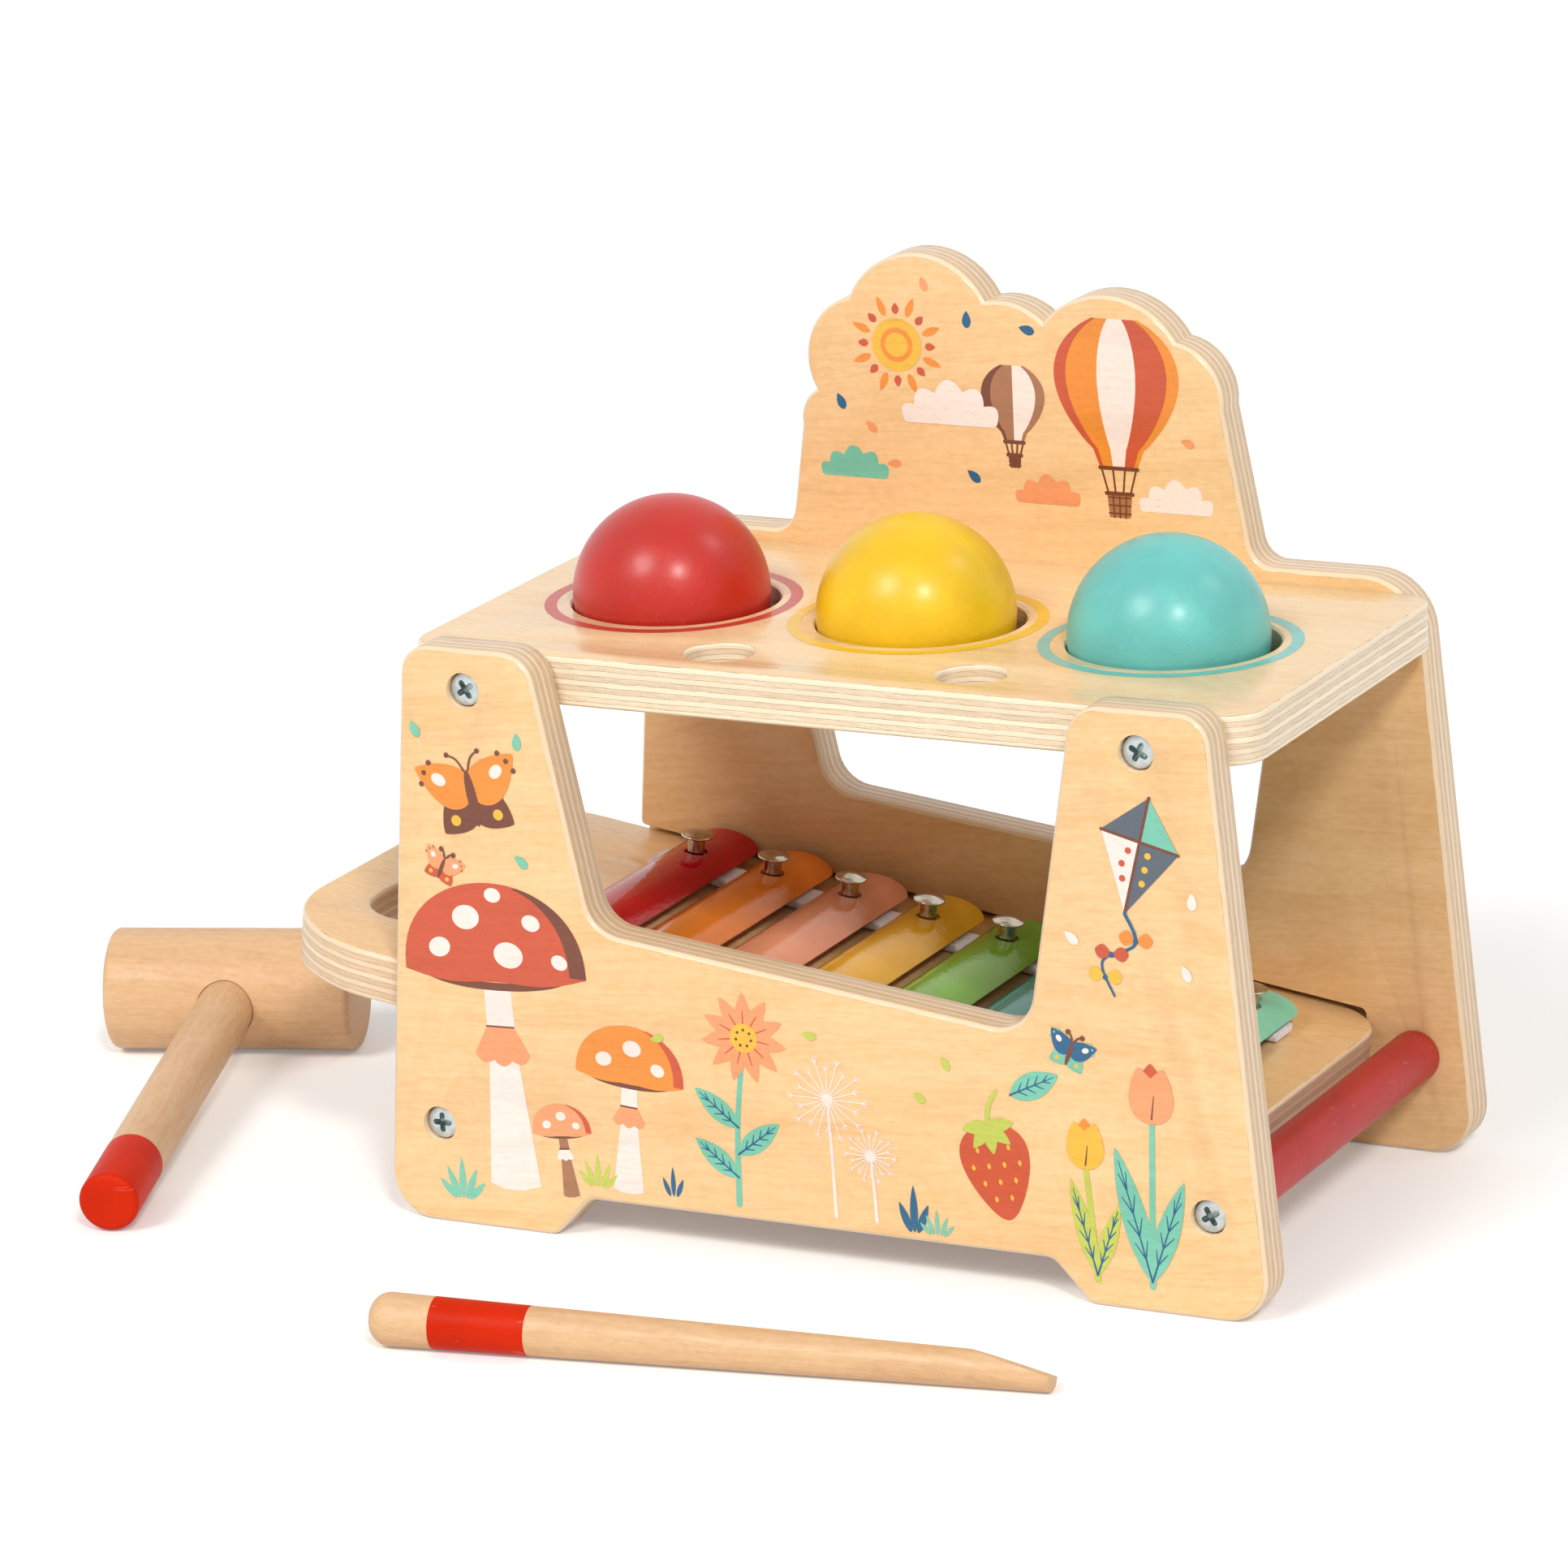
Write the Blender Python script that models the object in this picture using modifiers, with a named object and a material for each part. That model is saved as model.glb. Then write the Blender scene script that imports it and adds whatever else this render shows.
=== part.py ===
"""A toy bench for pounding balls through a board, with a xylophone on a tray below.

All sizes are in metres, with +Z up and +X along the bench. The bench stands between two plywood
panels. Its top board carries three balls, its slanted tray carries eight curved metal bars, and a
mallet and a tapered stick lie on the ground beside it.
"""
import math

import bmesh
import bpy
from mathutils import Matrix, Vector

# Values that serve every piece
FIT_GAP = 0.0003
CUT_OVERRUN = 0.004
WELD_DISTANCE = 0.00001
ARC_SAGITTA = 0.00004
HOLE_SIDES = 28
SMOOTH_ANGLE = math.radians(35)

# The two side panels
PANEL_THICKNESS = 0.0105
INNER_DEPTH = 0.107
FOOT_SPAN = 0.2172
SHOULDER_SPAN = 0.1944
SHOULDER_HEIGHT = 0.135
PANEL_EDGE = 0.0008
FOOT_OUTER_RADIUS = 0.0102
FOOT_INNER_RADIUS = 0.004
ARCH_FLOOR_WIDTH = 0.132
ARCH_TOP_WIDTH = 0.114
ARCH_HEIGHT = 0.0095
WINDOW_TOP_WIDTH = 0.1316
WINDOW_SILL_WIDTH = 0.106
SILL_LEFT_HEIGHT = 0.0726
SILL_RIGHT_HEIGHT = 0.0598
SILL_RADIUS = 0.009
ARM_OUTER_RADIUS = 0.007
ARM_INNER_RADIUS = 0.008

# The back panel's shoulders and its lobed crown
SHOULDER_RADIUS = 0.014
BACK_RAIL_DROP = 0.004
BACK_WINDOW_RADIUS = 0.007
CROWN_WIDTH = 0.116
CROWN_HEIGHT = 0.0675
CROWN_FOOT_RADIUS = 0.006
CROWN_FOOT_SHARES = (0.99, -1.02)
# Each notch: share of half the width, share of the height, swell of the lobe after it per chord
CROWN_NOTCH_SHARES = (
    (0.878, 0.526, 0.198),
    (0.686, 0.750, 0.258),
    (0.121, 0.790, 0.125),
    (-0.131, 0.849, 0.311),
    (-0.724, 0.837, 0.247),
    (-0.884, 0.504, 0.160),
    (-0.953, 0.378, 0),
)

# The top board, its balls and their rubber rings
BOARD_DROP = 0.003
BOARD_THICKNESS = 0.011
BOARD_LENGTH = 0.2055
BOARD_CORNER_RADIUS = 0.009
BOARD_EDGE = 0.0005
BALL_NAMES = ("ball_red", "ball_yellow", "ball_teal")
BALL_DIAMETER = 0.045
BALL_PITCH_SHARE = 0.29976
BALL_RISE = 0.0016
BALL_HOLE_CLEARANCE = 0.0025
BALL_SHIFT = (-0.0009, -0.00047)
BALL_SEGMENTS = 24
RING_THICKNESS = 0.003
RING_LIP_SHARE = 0.2206
RING_SEGMENTS = 56
TOOL_HOLE_CLEARANCE = 0.0015
TOOL_HOLE_SETBACK = 0.0146

# The two cross dowels
DOWEL_DIAMETER = 0.012
DOWEL_SPACING = 0.189
DOWEL_HEIGHT = 0.0232
DOWEL_EDGE = 0.0005

# The wood screws
SCREW_HEAD_DIAMETER = 0.0076
SCREW_HEAD_HEIGHT = 0.0022
SCREW_HEAD_DEPTH = 0.0012
SCREW_SHANK_DIAMETER = 0.0036
SCREW_LENGTH = 0.024
SCREW_SIDES = 20
SCREW_TOP_SHIFT = (-0.0005, -0.0009)
CROSS_WIDTH = 0.0014
CROSS_SPAN = 0.0048
CROSS_DEPTH = 0.0014

# The sliding tray, in its own slanted frame with the top face at zero
TRAY_TILT = math.radians(8.22)
TRAY_HEIGHT = 0.0431
TRAY_THICKNESS = 0.0114
TRAY_LENGTH = 0.2338
TRAY_RIGHT_REACH = 0.0883
TRAY_RIGHT_RADIUS = 0.0144
TRAY_LEFT_RADIUS = 0.0295
TRAY_EDGE = 0.0006
TRAY_SIDE_GAP = 0.0019
TRAY_TOP_GAP = 0.0017
GROOVE_DEPTH = 0.0052
GROOVE_CORNER_RADIUS = 0.0018
GROOVE_MOUTH_RADIUS = 0.0022
SLOT_LENGTH = 0.069
SLOT_WIDTH = 0.020
SLOT_INSET = 0.0134

# The sounding bars, their felt and their pins
BAR_COUNT = 8
BAR_PITCH = 0.02068
BAR_WIDTH = 0.0172
BAR_RISE = 0.003
BAR_THICKNESS = 0.001
BAR_END_GAP = 0.0016
BAR_SHORTENING_SHARE = 0.03815
BAR_CORNER_RADIUS = 0.003
BAR_ARC_STEPS = 7
BAR_RIGHT_MARGIN = 0.0149
FELT_WIDTH = 0.0104
FELT_OUTWARD = 0.0018
FELT_THICKNESS = 0.0021
FELT_LEFT_REACH = 0.011
PIN_FIRST_SHARE = 0.3266
PIN_LAST_SHARE = 0.2611
PIN_SHANK_DIAMETER = 0.004
PIN_HEAD_DIAMETER = 0.0076
PIN_HEAD_HEIGHT = 0.0016
PIN_HEAD_RIM = 0.0006
PIN_FREE_HEIGHT = 0.0034
PIN_DEPTH = 0.006
PIN_SIDES = 10
PIN_HOLE_CLEARANCE = 0.0016
PIN_HOLE_SIDES = 10

# The mallet, which lies on the ground at the left
MALLET_HEAD_DIAMETER = 0.0295
MALLET_HEAD_LENGTH = 0.061
MALLET_HEAD_EDGE = 0.002
MALLET_HANDLE_DIAMETER = 0.014
MALLET_HANDLE_REACH = 0.120
MALLET_HANDLE_DEPTH = 0.018
MALLET_HANDLE_EDGE = 0.0015
MALLET_SIDES = 24
MALLET_HEAD_LEFT = 0.0963
MALLET_HEAD_BACK = 0.095
MALLET_HEADING = math.radians(18)

# The tapered stick, which lies on the ground in front
STICK_LENGTH = 0.1532
STICK_BUTT_DIAMETER = 0.0118
STICK_TIP_DIAMETER = 0.0076
STICK_BUTT_ROUNDING = 0.0045
STICK_TIP_ROUNDING = 0.0006
STICK_WEDGE_LENGTH = 0.0185
STICK_WEDGE_THICKNESS = 0.0034
STICK_WEDGE_ROLL = math.radians(-20)
STICK_SIDES = 20
STICK_BUTT_LEFT = 0.0705
STICK_BUTT_FRONT = 0.0748
STICK_HEADING = math.radians(9)

# Sizes that follow from the ones above
DEPTH = INNER_DEPTH + 2 * PANEL_THICKNESS
MIDDLE_Y = DEPTH / 2
SCREW_TOP_SPACING = (WINDOW_TOP_WIDTH + SHOULDER_SPAN) / 2
BOARD_WIDTH = INNER_DEPTH - 2 * FIT_GAP
BOARD_HEIGHT = SHOULDER_HEIGHT - BOARD_DROP
BALL_PITCH = BALL_PITCH_SHARE * BOARD_LENGTH
BALL_RADIUS = BALL_DIAMETER / 2
BALL_HOLE_RADIUS = (BALL_DIAMETER + BALL_HOLE_CLEARANCE) / 2
RING_OUTER_RADIUS = BALL_HOLE_RADIUS + RING_LIP_SHARE * (BALL_PITCH - 2 * BALL_HOLE_RADIUS)
RING_TOP_DROP = BALL_RISE + BOARD_THICKNESS - RING_THICKNESS
RING_OPENING_RADIUS = math.sqrt(BALL_RADIUS ** 2 - RING_TOP_DROP ** 2) + FIT_GAP
RING_TURN = math.pi / RING_SEGMENTS
TOOL_HOLE_RADIUS = (MALLET_HANDLE_DIAMETER + TOOL_HOLE_CLEARANCE) / 2
TRAY_ENGAGEMENT = GROOVE_DEPTH - TRAY_SIDE_GAP
TRAY_WIDTH = INNER_DEPTH + 2 * TRAY_ENGAGEMENT
FIRST_BAR_X = TRAY_RIGHT_REACH - BAR_RIGHT_MARGIN - BAR_WIDTH / 2 - (BAR_COUNT - 1) * BAR_PITCH
FIRST_BAR_LENGTH = INNER_DEPTH - 2 * BAR_END_GAP
BAR_SHORTENING = BAR_SHORTENING_SHARE * FIRST_BAR_LENGTH
PIN_FIRST_OFFSET = PIN_FIRST_SHARE * FIRST_BAR_LENGTH
PIN_LAST_OFFSET = PIN_LAST_SHARE * FIRST_BAR_LENGTH
BAR_SEAT = FELT_THICKNESS + 2 * FIT_GAP
BAR_OUTER_RADIUS = ((BAR_WIDTH / 2) ** 2 + BAR_RISE ** 2) / (2 * BAR_RISE)
BAR_ARC_ANGLE = math.asin(BAR_WIDTH / 2 / BAR_OUTER_RADIUS)
BAR_HEIGHT = BAR_OUTER_RADIUS - (BAR_OUTER_RADIUS - BAR_THICKNESS) * math.cos(BAR_ARC_ANGLE)
BAR_CREST = BAR_SEAT + BAR_HEIGHT
PIN_TOP = BAR_CREST + PIN_FREE_HEIGHT + PIN_HEAD_HEIGHT

# Colours read from the photograph, as linear red, green and blue
BIRCH = (0.82, 0.60, 0.36)
PALE_BIRCH = (0.80, 0.66, 0.47)
BEECH = (0.76, 0.50, 0.27)
RED_LACQUER = (0.62, 0.045, 0.035)
YELLOW_LACQUER = (0.93, 0.54, 0.014)
TEAL_LACQUER = (0.10, 0.51, 0.46)
DOWEL_RED = (0.48, 0.045, 0.04)
ZINC = (0.62, 0.61, 0.58)
NICKEL = (0.70, 0.66, 0.60)
RUBBER_BLACK = (0.02, 0.02, 0.022)
FELT_GREY = (0.60, 0.58, 0.62)
BALL_COLOURS = (RED_LACQUER, YELLOW_LACQUER, TEAL_LACQUER)
BAR_COLOURS = {
    "dark_red": (0.37, 0.008, 0.014),
    "orange": (0.68, 0.155, 0.024),
    "salmon": (0.74, 0.27, 0.17),
    "yellow": (0.72, 0.40, 0.030),
    "green": (0.16, 0.38, 0.045),
    "teal": (0.045, 0.27, 0.23),
    "blue": (0.03, 0.17, 0.45),
    "mint": (0.24, 0.66, 0.45),
}


def clear_scene():
    """Remove whatever the file starts with."""
    for item in list(bpy.data.objects):
        bpy.data.objects.remove(item)


def make_collection(name):
    """Add a collection to the scene."""
    collection = bpy.data.collections.new(name)
    bpy.context.scene.collection.children.link(collection)
    return collection


def make_material(name, colour, roughness, metallic=0):
    """A Principled material with the piece's colour."""
    material = bpy.data.materials.new(name)
    material.use_nodes = True
    shader = material.node_tree.nodes["Principled BSDF"]
    shader.inputs["Base Color"].default_value = (*colour, 1)
    shader.inputs["Roughness"].default_value = roughness
    shader.inputs["Metallic"].default_value = metallic
    material.diffuse_color = (*colour, 1)
    return material


def arc(centre, radius, start, end):
    """Points on an arc from one angle to another, both ends included."""
    widest = 2 * math.acos(1 - min(ARC_SAGITTA / radius, 1))
    steps = max(2, math.ceil(abs(end - start) / widest))
    angles = [start + (end - start) * i / steps for i in range(steps + 1)]
    return [(centre[0] + radius * math.cos(a), centre[1] + radius * math.sin(a)) for a in angles]


def rounded_corner(before, corner, after, radius):
    """The fillet that replaces one corner of an outline."""
    point = Vector(corner)
    back = (Vector(before) - point).normalized()
    ahead = (Vector(after) - point).normalized()
    half = back.angle(ahead) / 2
    middle = point + (back + ahead).normalized() * radius / math.sin(half)
    start = point + back * radius / math.tan(half) - middle
    end = point + ahead * radius / math.tan(half) - middle
    first = math.atan2(start.y, start.x)
    turn = math.remainder(math.atan2(end.y, end.x) - first, 2 * math.pi)
    return arc(middle, radius, first, first + turn)


def rounded(corners):
    """An outline from corners that are each given as x, y and fillet radius."""
    points = []
    for i, (x, y, radius) in enumerate(corners):
        if radius:
            following = corners[(i + 1) % len(corners)]
            points += rounded_corner(corners[i - 1][:2], (x, y), following[:2], radius)
        else:
            points.append((x, y))
    return points


def lobe(start, end, swell):
    """Points between two notches on an arc that swells to the right of its run."""
    a, b = Vector(start), Vector(end)
    chord = b - a
    rise = swell * chord.length
    radius = (chord.length_squared / 4 + rise ** 2) / (2 * rise)
    outward = Vector((chord.y, -chord.x)).normalized()
    centre = (a + b) / 2 + outward * (rise - radius)
    first = math.atan2(a.y - centre.y, a.x - centre.x)
    turn = math.remainder(math.atan2(b.y - centre.y, b.x - centre.x) - first, 2 * math.pi)
    return arc(centre, radius, first, first + turn)[1:-1]


def circle(x, y, radius, sides=HOLE_SIDES):
    """A round hole's outline, run clockwise."""
    angles = [-2 * math.pi * i / sides for i in range(sides)]
    return [(x + radius * math.cos(a), y + radius * math.sin(a)) for a in angles]


def finish(item, collection, material, parent):
    """Give an object its material, collection and parent."""
    for owner in list(item.users_collection):
        owner.objects.unlink(item)
    collection.objects.link(item)
    if material:
        item.data.materials.clear()
        item.data.materials.append(material)
    item.parent = parent
    item.data.shade_smooth()
    item.data.set_sharp_from_angle(angle=SMOOTH_ANGLE)
    return item


def flat_plate(name, outlines, thickness, edge):
    """A flat piece from its outline and its holes, centred on its own plane."""
    curve = bpy.data.curves.new(name, "CURVE")
    curve.dimensions = "2D"
    curve.fill_mode = "BOTH"
    curve.extrude = thickness / 2 - edge
    curve.bevel_depth = edge
    curve.bevel_resolution = 0
    curve.offset = -edge
    for outline in outlines:
        spline = curve.splines.new("POLY")
        spline.points.add(len(outline) - 1)
        spline.use_cyclic_u = True
        for point, (x, y) in zip(spline.points, outline):
            point.co = (x, y, 0, 1)
    source = bpy.data.objects.new(name, curve)
    bpy.context.scene.collection.objects.link(source)
    mesh = evaluated_mesh(source, name)
    bpy.data.objects.remove(source)
    bpy.data.curves.remove(curve)
    weld(mesh)
    return bpy.data.objects.new(name, mesh)


def evaluated_mesh(item, name):
    """The mesh of an object with its modifiers applied."""
    graph = bpy.context.evaluated_depsgraph_get()
    mesh = bpy.data.meshes.new_from_object(item.evaluated_get(graph), depsgraph=graph)
    mesh.name = name
    return mesh


def weld(mesh):
    """Join the loose caps of a filled curve to its sides."""
    work = bmesh.new()
    work.from_mesh(mesh)
    bmesh.ops.remove_doubles(work, verts=work.verts, dist=WELD_DISTANCE)
    bmesh.ops.dissolve_degenerate(work, edges=work.edges, dist=WELD_DISTANCE)
    bmesh.ops.recalc_face_normals(work, faces=work.faces)
    work.to_mesh(mesh)
    work.free()


def turned(name, profile, sides, closed=False):
    """A turned piece from its profile of radii and heights, listed from top to bottom."""
    mesh = bpy.data.meshes.new(name)
    edges = [(i, i + 1) for i in range(len(profile) - 1)]
    if closed:
        edges.append((len(profile) - 1, 0))
    mesh.from_pydata([(radius, 0, z) for radius, z in profile], edges, [])
    item = bpy.data.objects.new(name, mesh)
    screw = item.modifiers.new("Turn", "SCREW")
    screw.axis = "Z"
    screw.steps = sides
    screw.render_steps = sides
    screw.use_merge_vertices = True
    screw.merge_threshold = WELD_DISTANCE
    screw.use_smooth_shade = True
    return item


def applied(item):
    """Replace an object's mesh by its evaluated one, so that copies can share it."""
    bpy.context.scene.collection.objects.link(item)
    mesh = evaluated_mesh(item, item.name)
    old = item.data
    item.modifiers.clear()
    item.data = mesh
    bpy.data.meshes.remove(old)
    bpy.context.scene.collection.objects.unlink(item)
    return item


def cutter(item, cutters, parent):
    """Turn an object into a hidden cutter."""
    for owner in list(item.users_collection):
        owner.objects.unlink(item)
    cutters.objects.link(item)
    item.parent = parent
    item.hide_render = True
    item.display_type = "WIRE"
    return item


def combine(item, tool, operation="DIFFERENCE"):
    """Add an exact Boolean with another object."""
    boolean = item.modifiers.new(tool.name, "BOOLEAN")
    boolean.operation = operation
    boolean.solver = "EXACT"
    boolean.object = tool
    return boolean


def box(name, low, high):
    """A box between two corners."""
    mesh = bpy.data.meshes.new(name)
    work = bmesh.new()
    bmesh.ops.create_cube(work, size=1)
    size = Vector(high) - Vector(low)
    middle = (Vector(high) + Vector(low)) / 2
    place = Matrix.Translation(middle) @ Matrix.Diagonal((*size, 1))
    bmesh.ops.transform(work, matrix=place, verts=work.verts)
    work.to_mesh(mesh)
    work.free()
    return bpy.data.objects.new(name, mesh)


def make_empty(name, location, rotation, parent, collection):
    """An empty that carries a group of pieces."""
    empty = bpy.data.objects.new(name, None)
    empty.location = location
    empty.rotation_euler = rotation
    empty.parent = parent
    collection.objects.link(empty)
    return empty


def base_corners():
    """The corners of a panel's two feet and of the arch between them, from left to right."""
    left = [
        (-FOOT_SPAN / 2, 0, FOOT_OUTER_RADIUS),
        (-ARCH_FLOOR_WIDTH / 2, 0, FOOT_INNER_RADIUS),
        (-ARCH_TOP_WIDTH / 2, ARCH_HEIGHT, FOOT_INNER_RADIUS),
    ]
    return left + [(-x, z, radius) for x, z, radius in reversed(left)]


def front_outline():
    """The front panel: two arms, open between them down to the slanted sill."""
    half_top = WINDOW_TOP_WIDTH / 2
    half_sill = WINDOW_SILL_WIDTH / 2
    return rounded(base_corners() + [
        (SHOULDER_SPAN / 2, SHOULDER_HEIGHT, ARM_OUTER_RADIUS),
        (half_top, SHOULDER_HEIGHT, ARM_INNER_RADIUS),
        (half_sill, SILL_RIGHT_HEIGHT, SILL_RADIUS),
        (-half_sill, SILL_LEFT_HEIGHT, SILL_RADIUS),
        (-half_top, SHOULDER_HEIGHT, ARM_INNER_RADIUS),
        (-SHOULDER_SPAN / 2, SHOULDER_HEIGHT, ARM_OUTER_RADIUS),
    ])


def crown_corners():
    """The crown above the back panel's shoulders, from right to left."""
    half = CROWN_WIDTH / 2
    notches = [(x * half, SHOULDER_HEIGHT + z * CROWN_HEIGHT) for x, z, swell in CROWN_NOTCH_SHARES]
    corners = [(CROWN_FOOT_SHARES[0] * half, SHOULDER_HEIGHT, CROWN_FOOT_RADIUS)]
    for i, notch in enumerate(notches):
        corners.append((*notch, 0))
        if i + 1 < len(notches):
            corners += [(x, z, 0) for x, z in lobe(notch, notches[i + 1], CROWN_NOTCH_SHARES[i][2])]
    corners.append((CROWN_FOOT_SHARES[1] * half, SHOULDER_HEIGHT, CROWN_FOOT_RADIUS))
    return corners


def back_outline():
    """The back panel with its shoulders and its crown."""
    shoulder = SHOULDER_SPAN / 2
    return rounded(
        base_corners()
        + [(shoulder, SHOULDER_HEIGHT, SHOULDER_RADIUS)]
        + crown_corners()
        + [(-shoulder, SHOULDER_HEIGHT, SHOULDER_RADIUS)])


def window_edge(side, height):
    """Where the window's slanted side, -1 left or 1 right, stands at a height."""
    sill = SILL_RIGHT_HEIGHT if side > 0 else SILL_LEFT_HEIGHT
    rise_share = (height - sill) / (SHOULDER_HEIGHT - sill)
    return side * (WINDOW_SILL_WIDTH + (WINDOW_TOP_WIDTH - WINDOW_SILL_WIDTH) * rise_share) / 2


def back_window():
    """The back panel's window, run clockwise, which ends under the rail behind the top board."""
    top = BOARD_HEIGHT - BOARD_THICKNESS - BACK_RAIL_DROP
    return rounded([
        (window_edge(-1, SILL_LEFT_HEIGHT), SILL_LEFT_HEIGHT, SILL_RADIUS),
        (window_edge(-1, top), top, BACK_WINDOW_RADIUS),
        (window_edge(1, top), top, BACK_WINDOW_RADIUS),
        (window_edge(1, SILL_RIGHT_HEIGHT), SILL_RIGHT_HEIGHT, SILL_RADIUS),
    ])


def stand_up(item, y):
    """Turn a flat plate upright, its plane facing along the bench's depth."""
    item.rotation_euler = (math.pi / 2, 0, 0)
    item.location = (0, y, 0)
    return item


def groove_end():
    """Where the grooves stop the tray's round corners."""
    radius = TRAY_RIGHT_RADIUS
    short = radius - math.sqrt(radius ** 2 - (radius - TRAY_ENGAGEMENT) ** 2)
    return TRAY_RIGHT_REACH - short + FIT_GAP


def groove_mouth():
    """Where the panels' slanted left edge meets the groove's ceiling, and the edge's direction."""
    lean = (FOOT_SPAN - SHOULDER_SPAN) / 2 / SHOULDER_HEIGHT
    to_tray = Matrix.Rotation(TRAY_TILT, 2)
    foot = to_tray @ Vector((-FOOT_SPAN / 2, -TRAY_HEIGHT))
    run = to_tray @ Vector((lean, 1))
    return foot + run * (TRAY_TOP_GAP - foot.y) / run.y, run


def groove_cutter(cutters, tray_frame):
    """One slanted bar of air that cuts the tray's groove into both panels."""
    low = -TRAY_THICKNESS - FIT_GAP
    left = -TRAY_LENGTH
    right = groove_end()
    mouth, run = groove_mouth()
    above = mouth + run * TRAY_THICKNESS - Vector((PANEL_EDGE, 0))
    outline = rounded([
        (left, low, 0),
        (right, low, GROOVE_CORNER_RADIUS),
        (right, TRAY_TOP_GAP, GROOVE_CORNER_RADIUS),
        (*mouth, GROOVE_MOUTH_RADIUS),
        (*above, 0),
        (left, above.y, 0),
    ])
    tool = flat_plate("groove_cutter", [outline], INNER_DEPTH + 2 * GROOVE_DEPTH, 0)
    tool.rotation_euler = (math.pi / 2, 0, 0)
    return cutter(tool, cutters, tray_frame)


def make_panels(parts, material, bench):
    """The front panel and the taller back panel."""
    front = flat_plate("front_panel", [front_outline()], PANEL_THICKNESS, PANEL_EDGE)
    stand_up(front, PANEL_THICKNESS / 2)
    back = flat_plate("back_panel", [back_outline(), back_window()], PANEL_THICKNESS, PANEL_EDGE)
    stand_up(back, DEPTH - PANEL_THICKNESS / 2)
    return [finish(item, parts, material, bench) for item in (front, back)]


def board_outline():
    """The top board's outline about its own middle."""
    x, y = BOARD_LENGTH / 2, BOARD_WIDTH / 2
    signs = ((-1, -1), (1, -1), (1, 1), (-1, 1))
    return rounded([(sx * x, sy * y, BOARD_CORNER_RADIUS) for sx, sy in signs])


def ball_places():
    """Where the ball holes stand along the bench."""
    return [(i - (len(BALL_NAMES) - 1) / 2) * BALL_PITCH for i in range(len(BALL_NAMES))]


def ball_seats():
    """Where the balls and their rings stand, a little off the holes' middles."""
    return [(x + BALL_SHIFT[0], MIDDLE_Y + BALL_SHIFT[1]) for x in ball_places()]


def make_board(parts, cutters, material, bench):
    """The top board with its ball holes and the two holes that store the mallet and the stick."""
    holes = [circle(x, 0, BALL_HOLE_RADIUS, RING_SEGMENTS) for x in ball_places()]
    tool_y = TOOL_HOLE_SETBACK - BOARD_WIDTH / 2
    holes += [circle(side * BALL_PITCH / 2, tool_y, TOOL_HOLE_RADIUS) for side in (-1, 1)]
    board = flat_plate("top_board", [board_outline(), *holes], BOARD_THICKNESS, BOARD_EDGE)
    board.location = (0, MIDDLE_Y, BOARD_HEIGHT - BOARD_THICKNESS / 2)
    finish(board, parts, material, bench)
    for x, y in ball_seats():
        profile = [(0, RING_THICKNESS + FIT_GAP), (RING_OUTER_RADIUS + FIT_GAP, RING_THICKNESS + FIT_GAP),
                   (RING_OUTER_RADIUS + FIT_GAP, -CUT_OVERRUN), (0, -CUT_OVERRUN)]
        rebate = turned("ring_rebate_cutter", profile, RING_SEGMENTS)
        rebate.location = (x, y, BOARD_HEIGHT - BOARD_THICKNESS)
        rebate.rotation_euler = (0, 0, RING_TURN)
        combine(board, cutter(rebate, cutters, bench))
    return board


def make_balls(parts, bench):
    """The three balls, each with its middle just above the board."""
    balls = []
    for name, colour, (x, y) in zip(BALL_NAMES, BALL_COLOURS, ball_seats()):
        bpy.ops.mesh.primitive_uv_sphere_add(
            segments=BALL_SEGMENTS, ring_count=BALL_SEGMENTS // 2, radius=BALL_RADIUS,
            location=(x, y, BOARD_HEIGHT + BALL_RISE))
        ball = bpy.context.object
        ball.name = name
        finish(ball, parts, make_material(name, colour, 0.28), bench)
        balls.append(ball)
    return balls


def make_rings(parts, bench):
    """The rubber rings under the board that hold the balls until they are struck."""
    material = make_material("ring_rubber", RUBBER_BLACK, 0.7)
    profile = [(RING_OUTER_RADIUS, RING_THICKNESS), (RING_OUTER_RADIUS, 0),
               (RING_OPENING_RADIUS, 0), (RING_OPENING_RADIUS, RING_THICKNESS)]
    for number, (x, y) in enumerate(ball_seats(), 1):
        ring = turned(f"ball_ring_{number}", profile, RING_SEGMENTS, closed=True)
        ring.location = (x, y, BOARD_HEIGHT - BOARD_THICKNESS)
        ring.rotation_euler = (0, 0, RING_TURN)
        finish(ring, parts, material, bench)


def make_dowels(parts, bench):
    """The red dowels that tie the legs together."""
    material = make_material("dowel_paint", DOWEL_RED, 0.45)
    dowels = []
    for name, side in (("dowel_left", -1), ("dowel_right", 1)):
        bpy.ops.mesh.primitive_cylinder_add(
            vertices=HOLE_SIDES, radius=DOWEL_DIAMETER / 2, depth=BOARD_WIDTH,
            location=(side * DOWEL_SPACING / 2, MIDDLE_Y, DOWEL_HEIGHT), rotation=(math.pi / 2, 0, 0))
        dowel = bpy.context.object
        dowel.name = name
        bevel = dowel.modifiers.new("Edge", "BEVEL")
        bevel.width = DOWEL_EDGE
        bevel.segments = 1
        dowels.append(finish(dowel, parts, material, bench))
    return dowels


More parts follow.
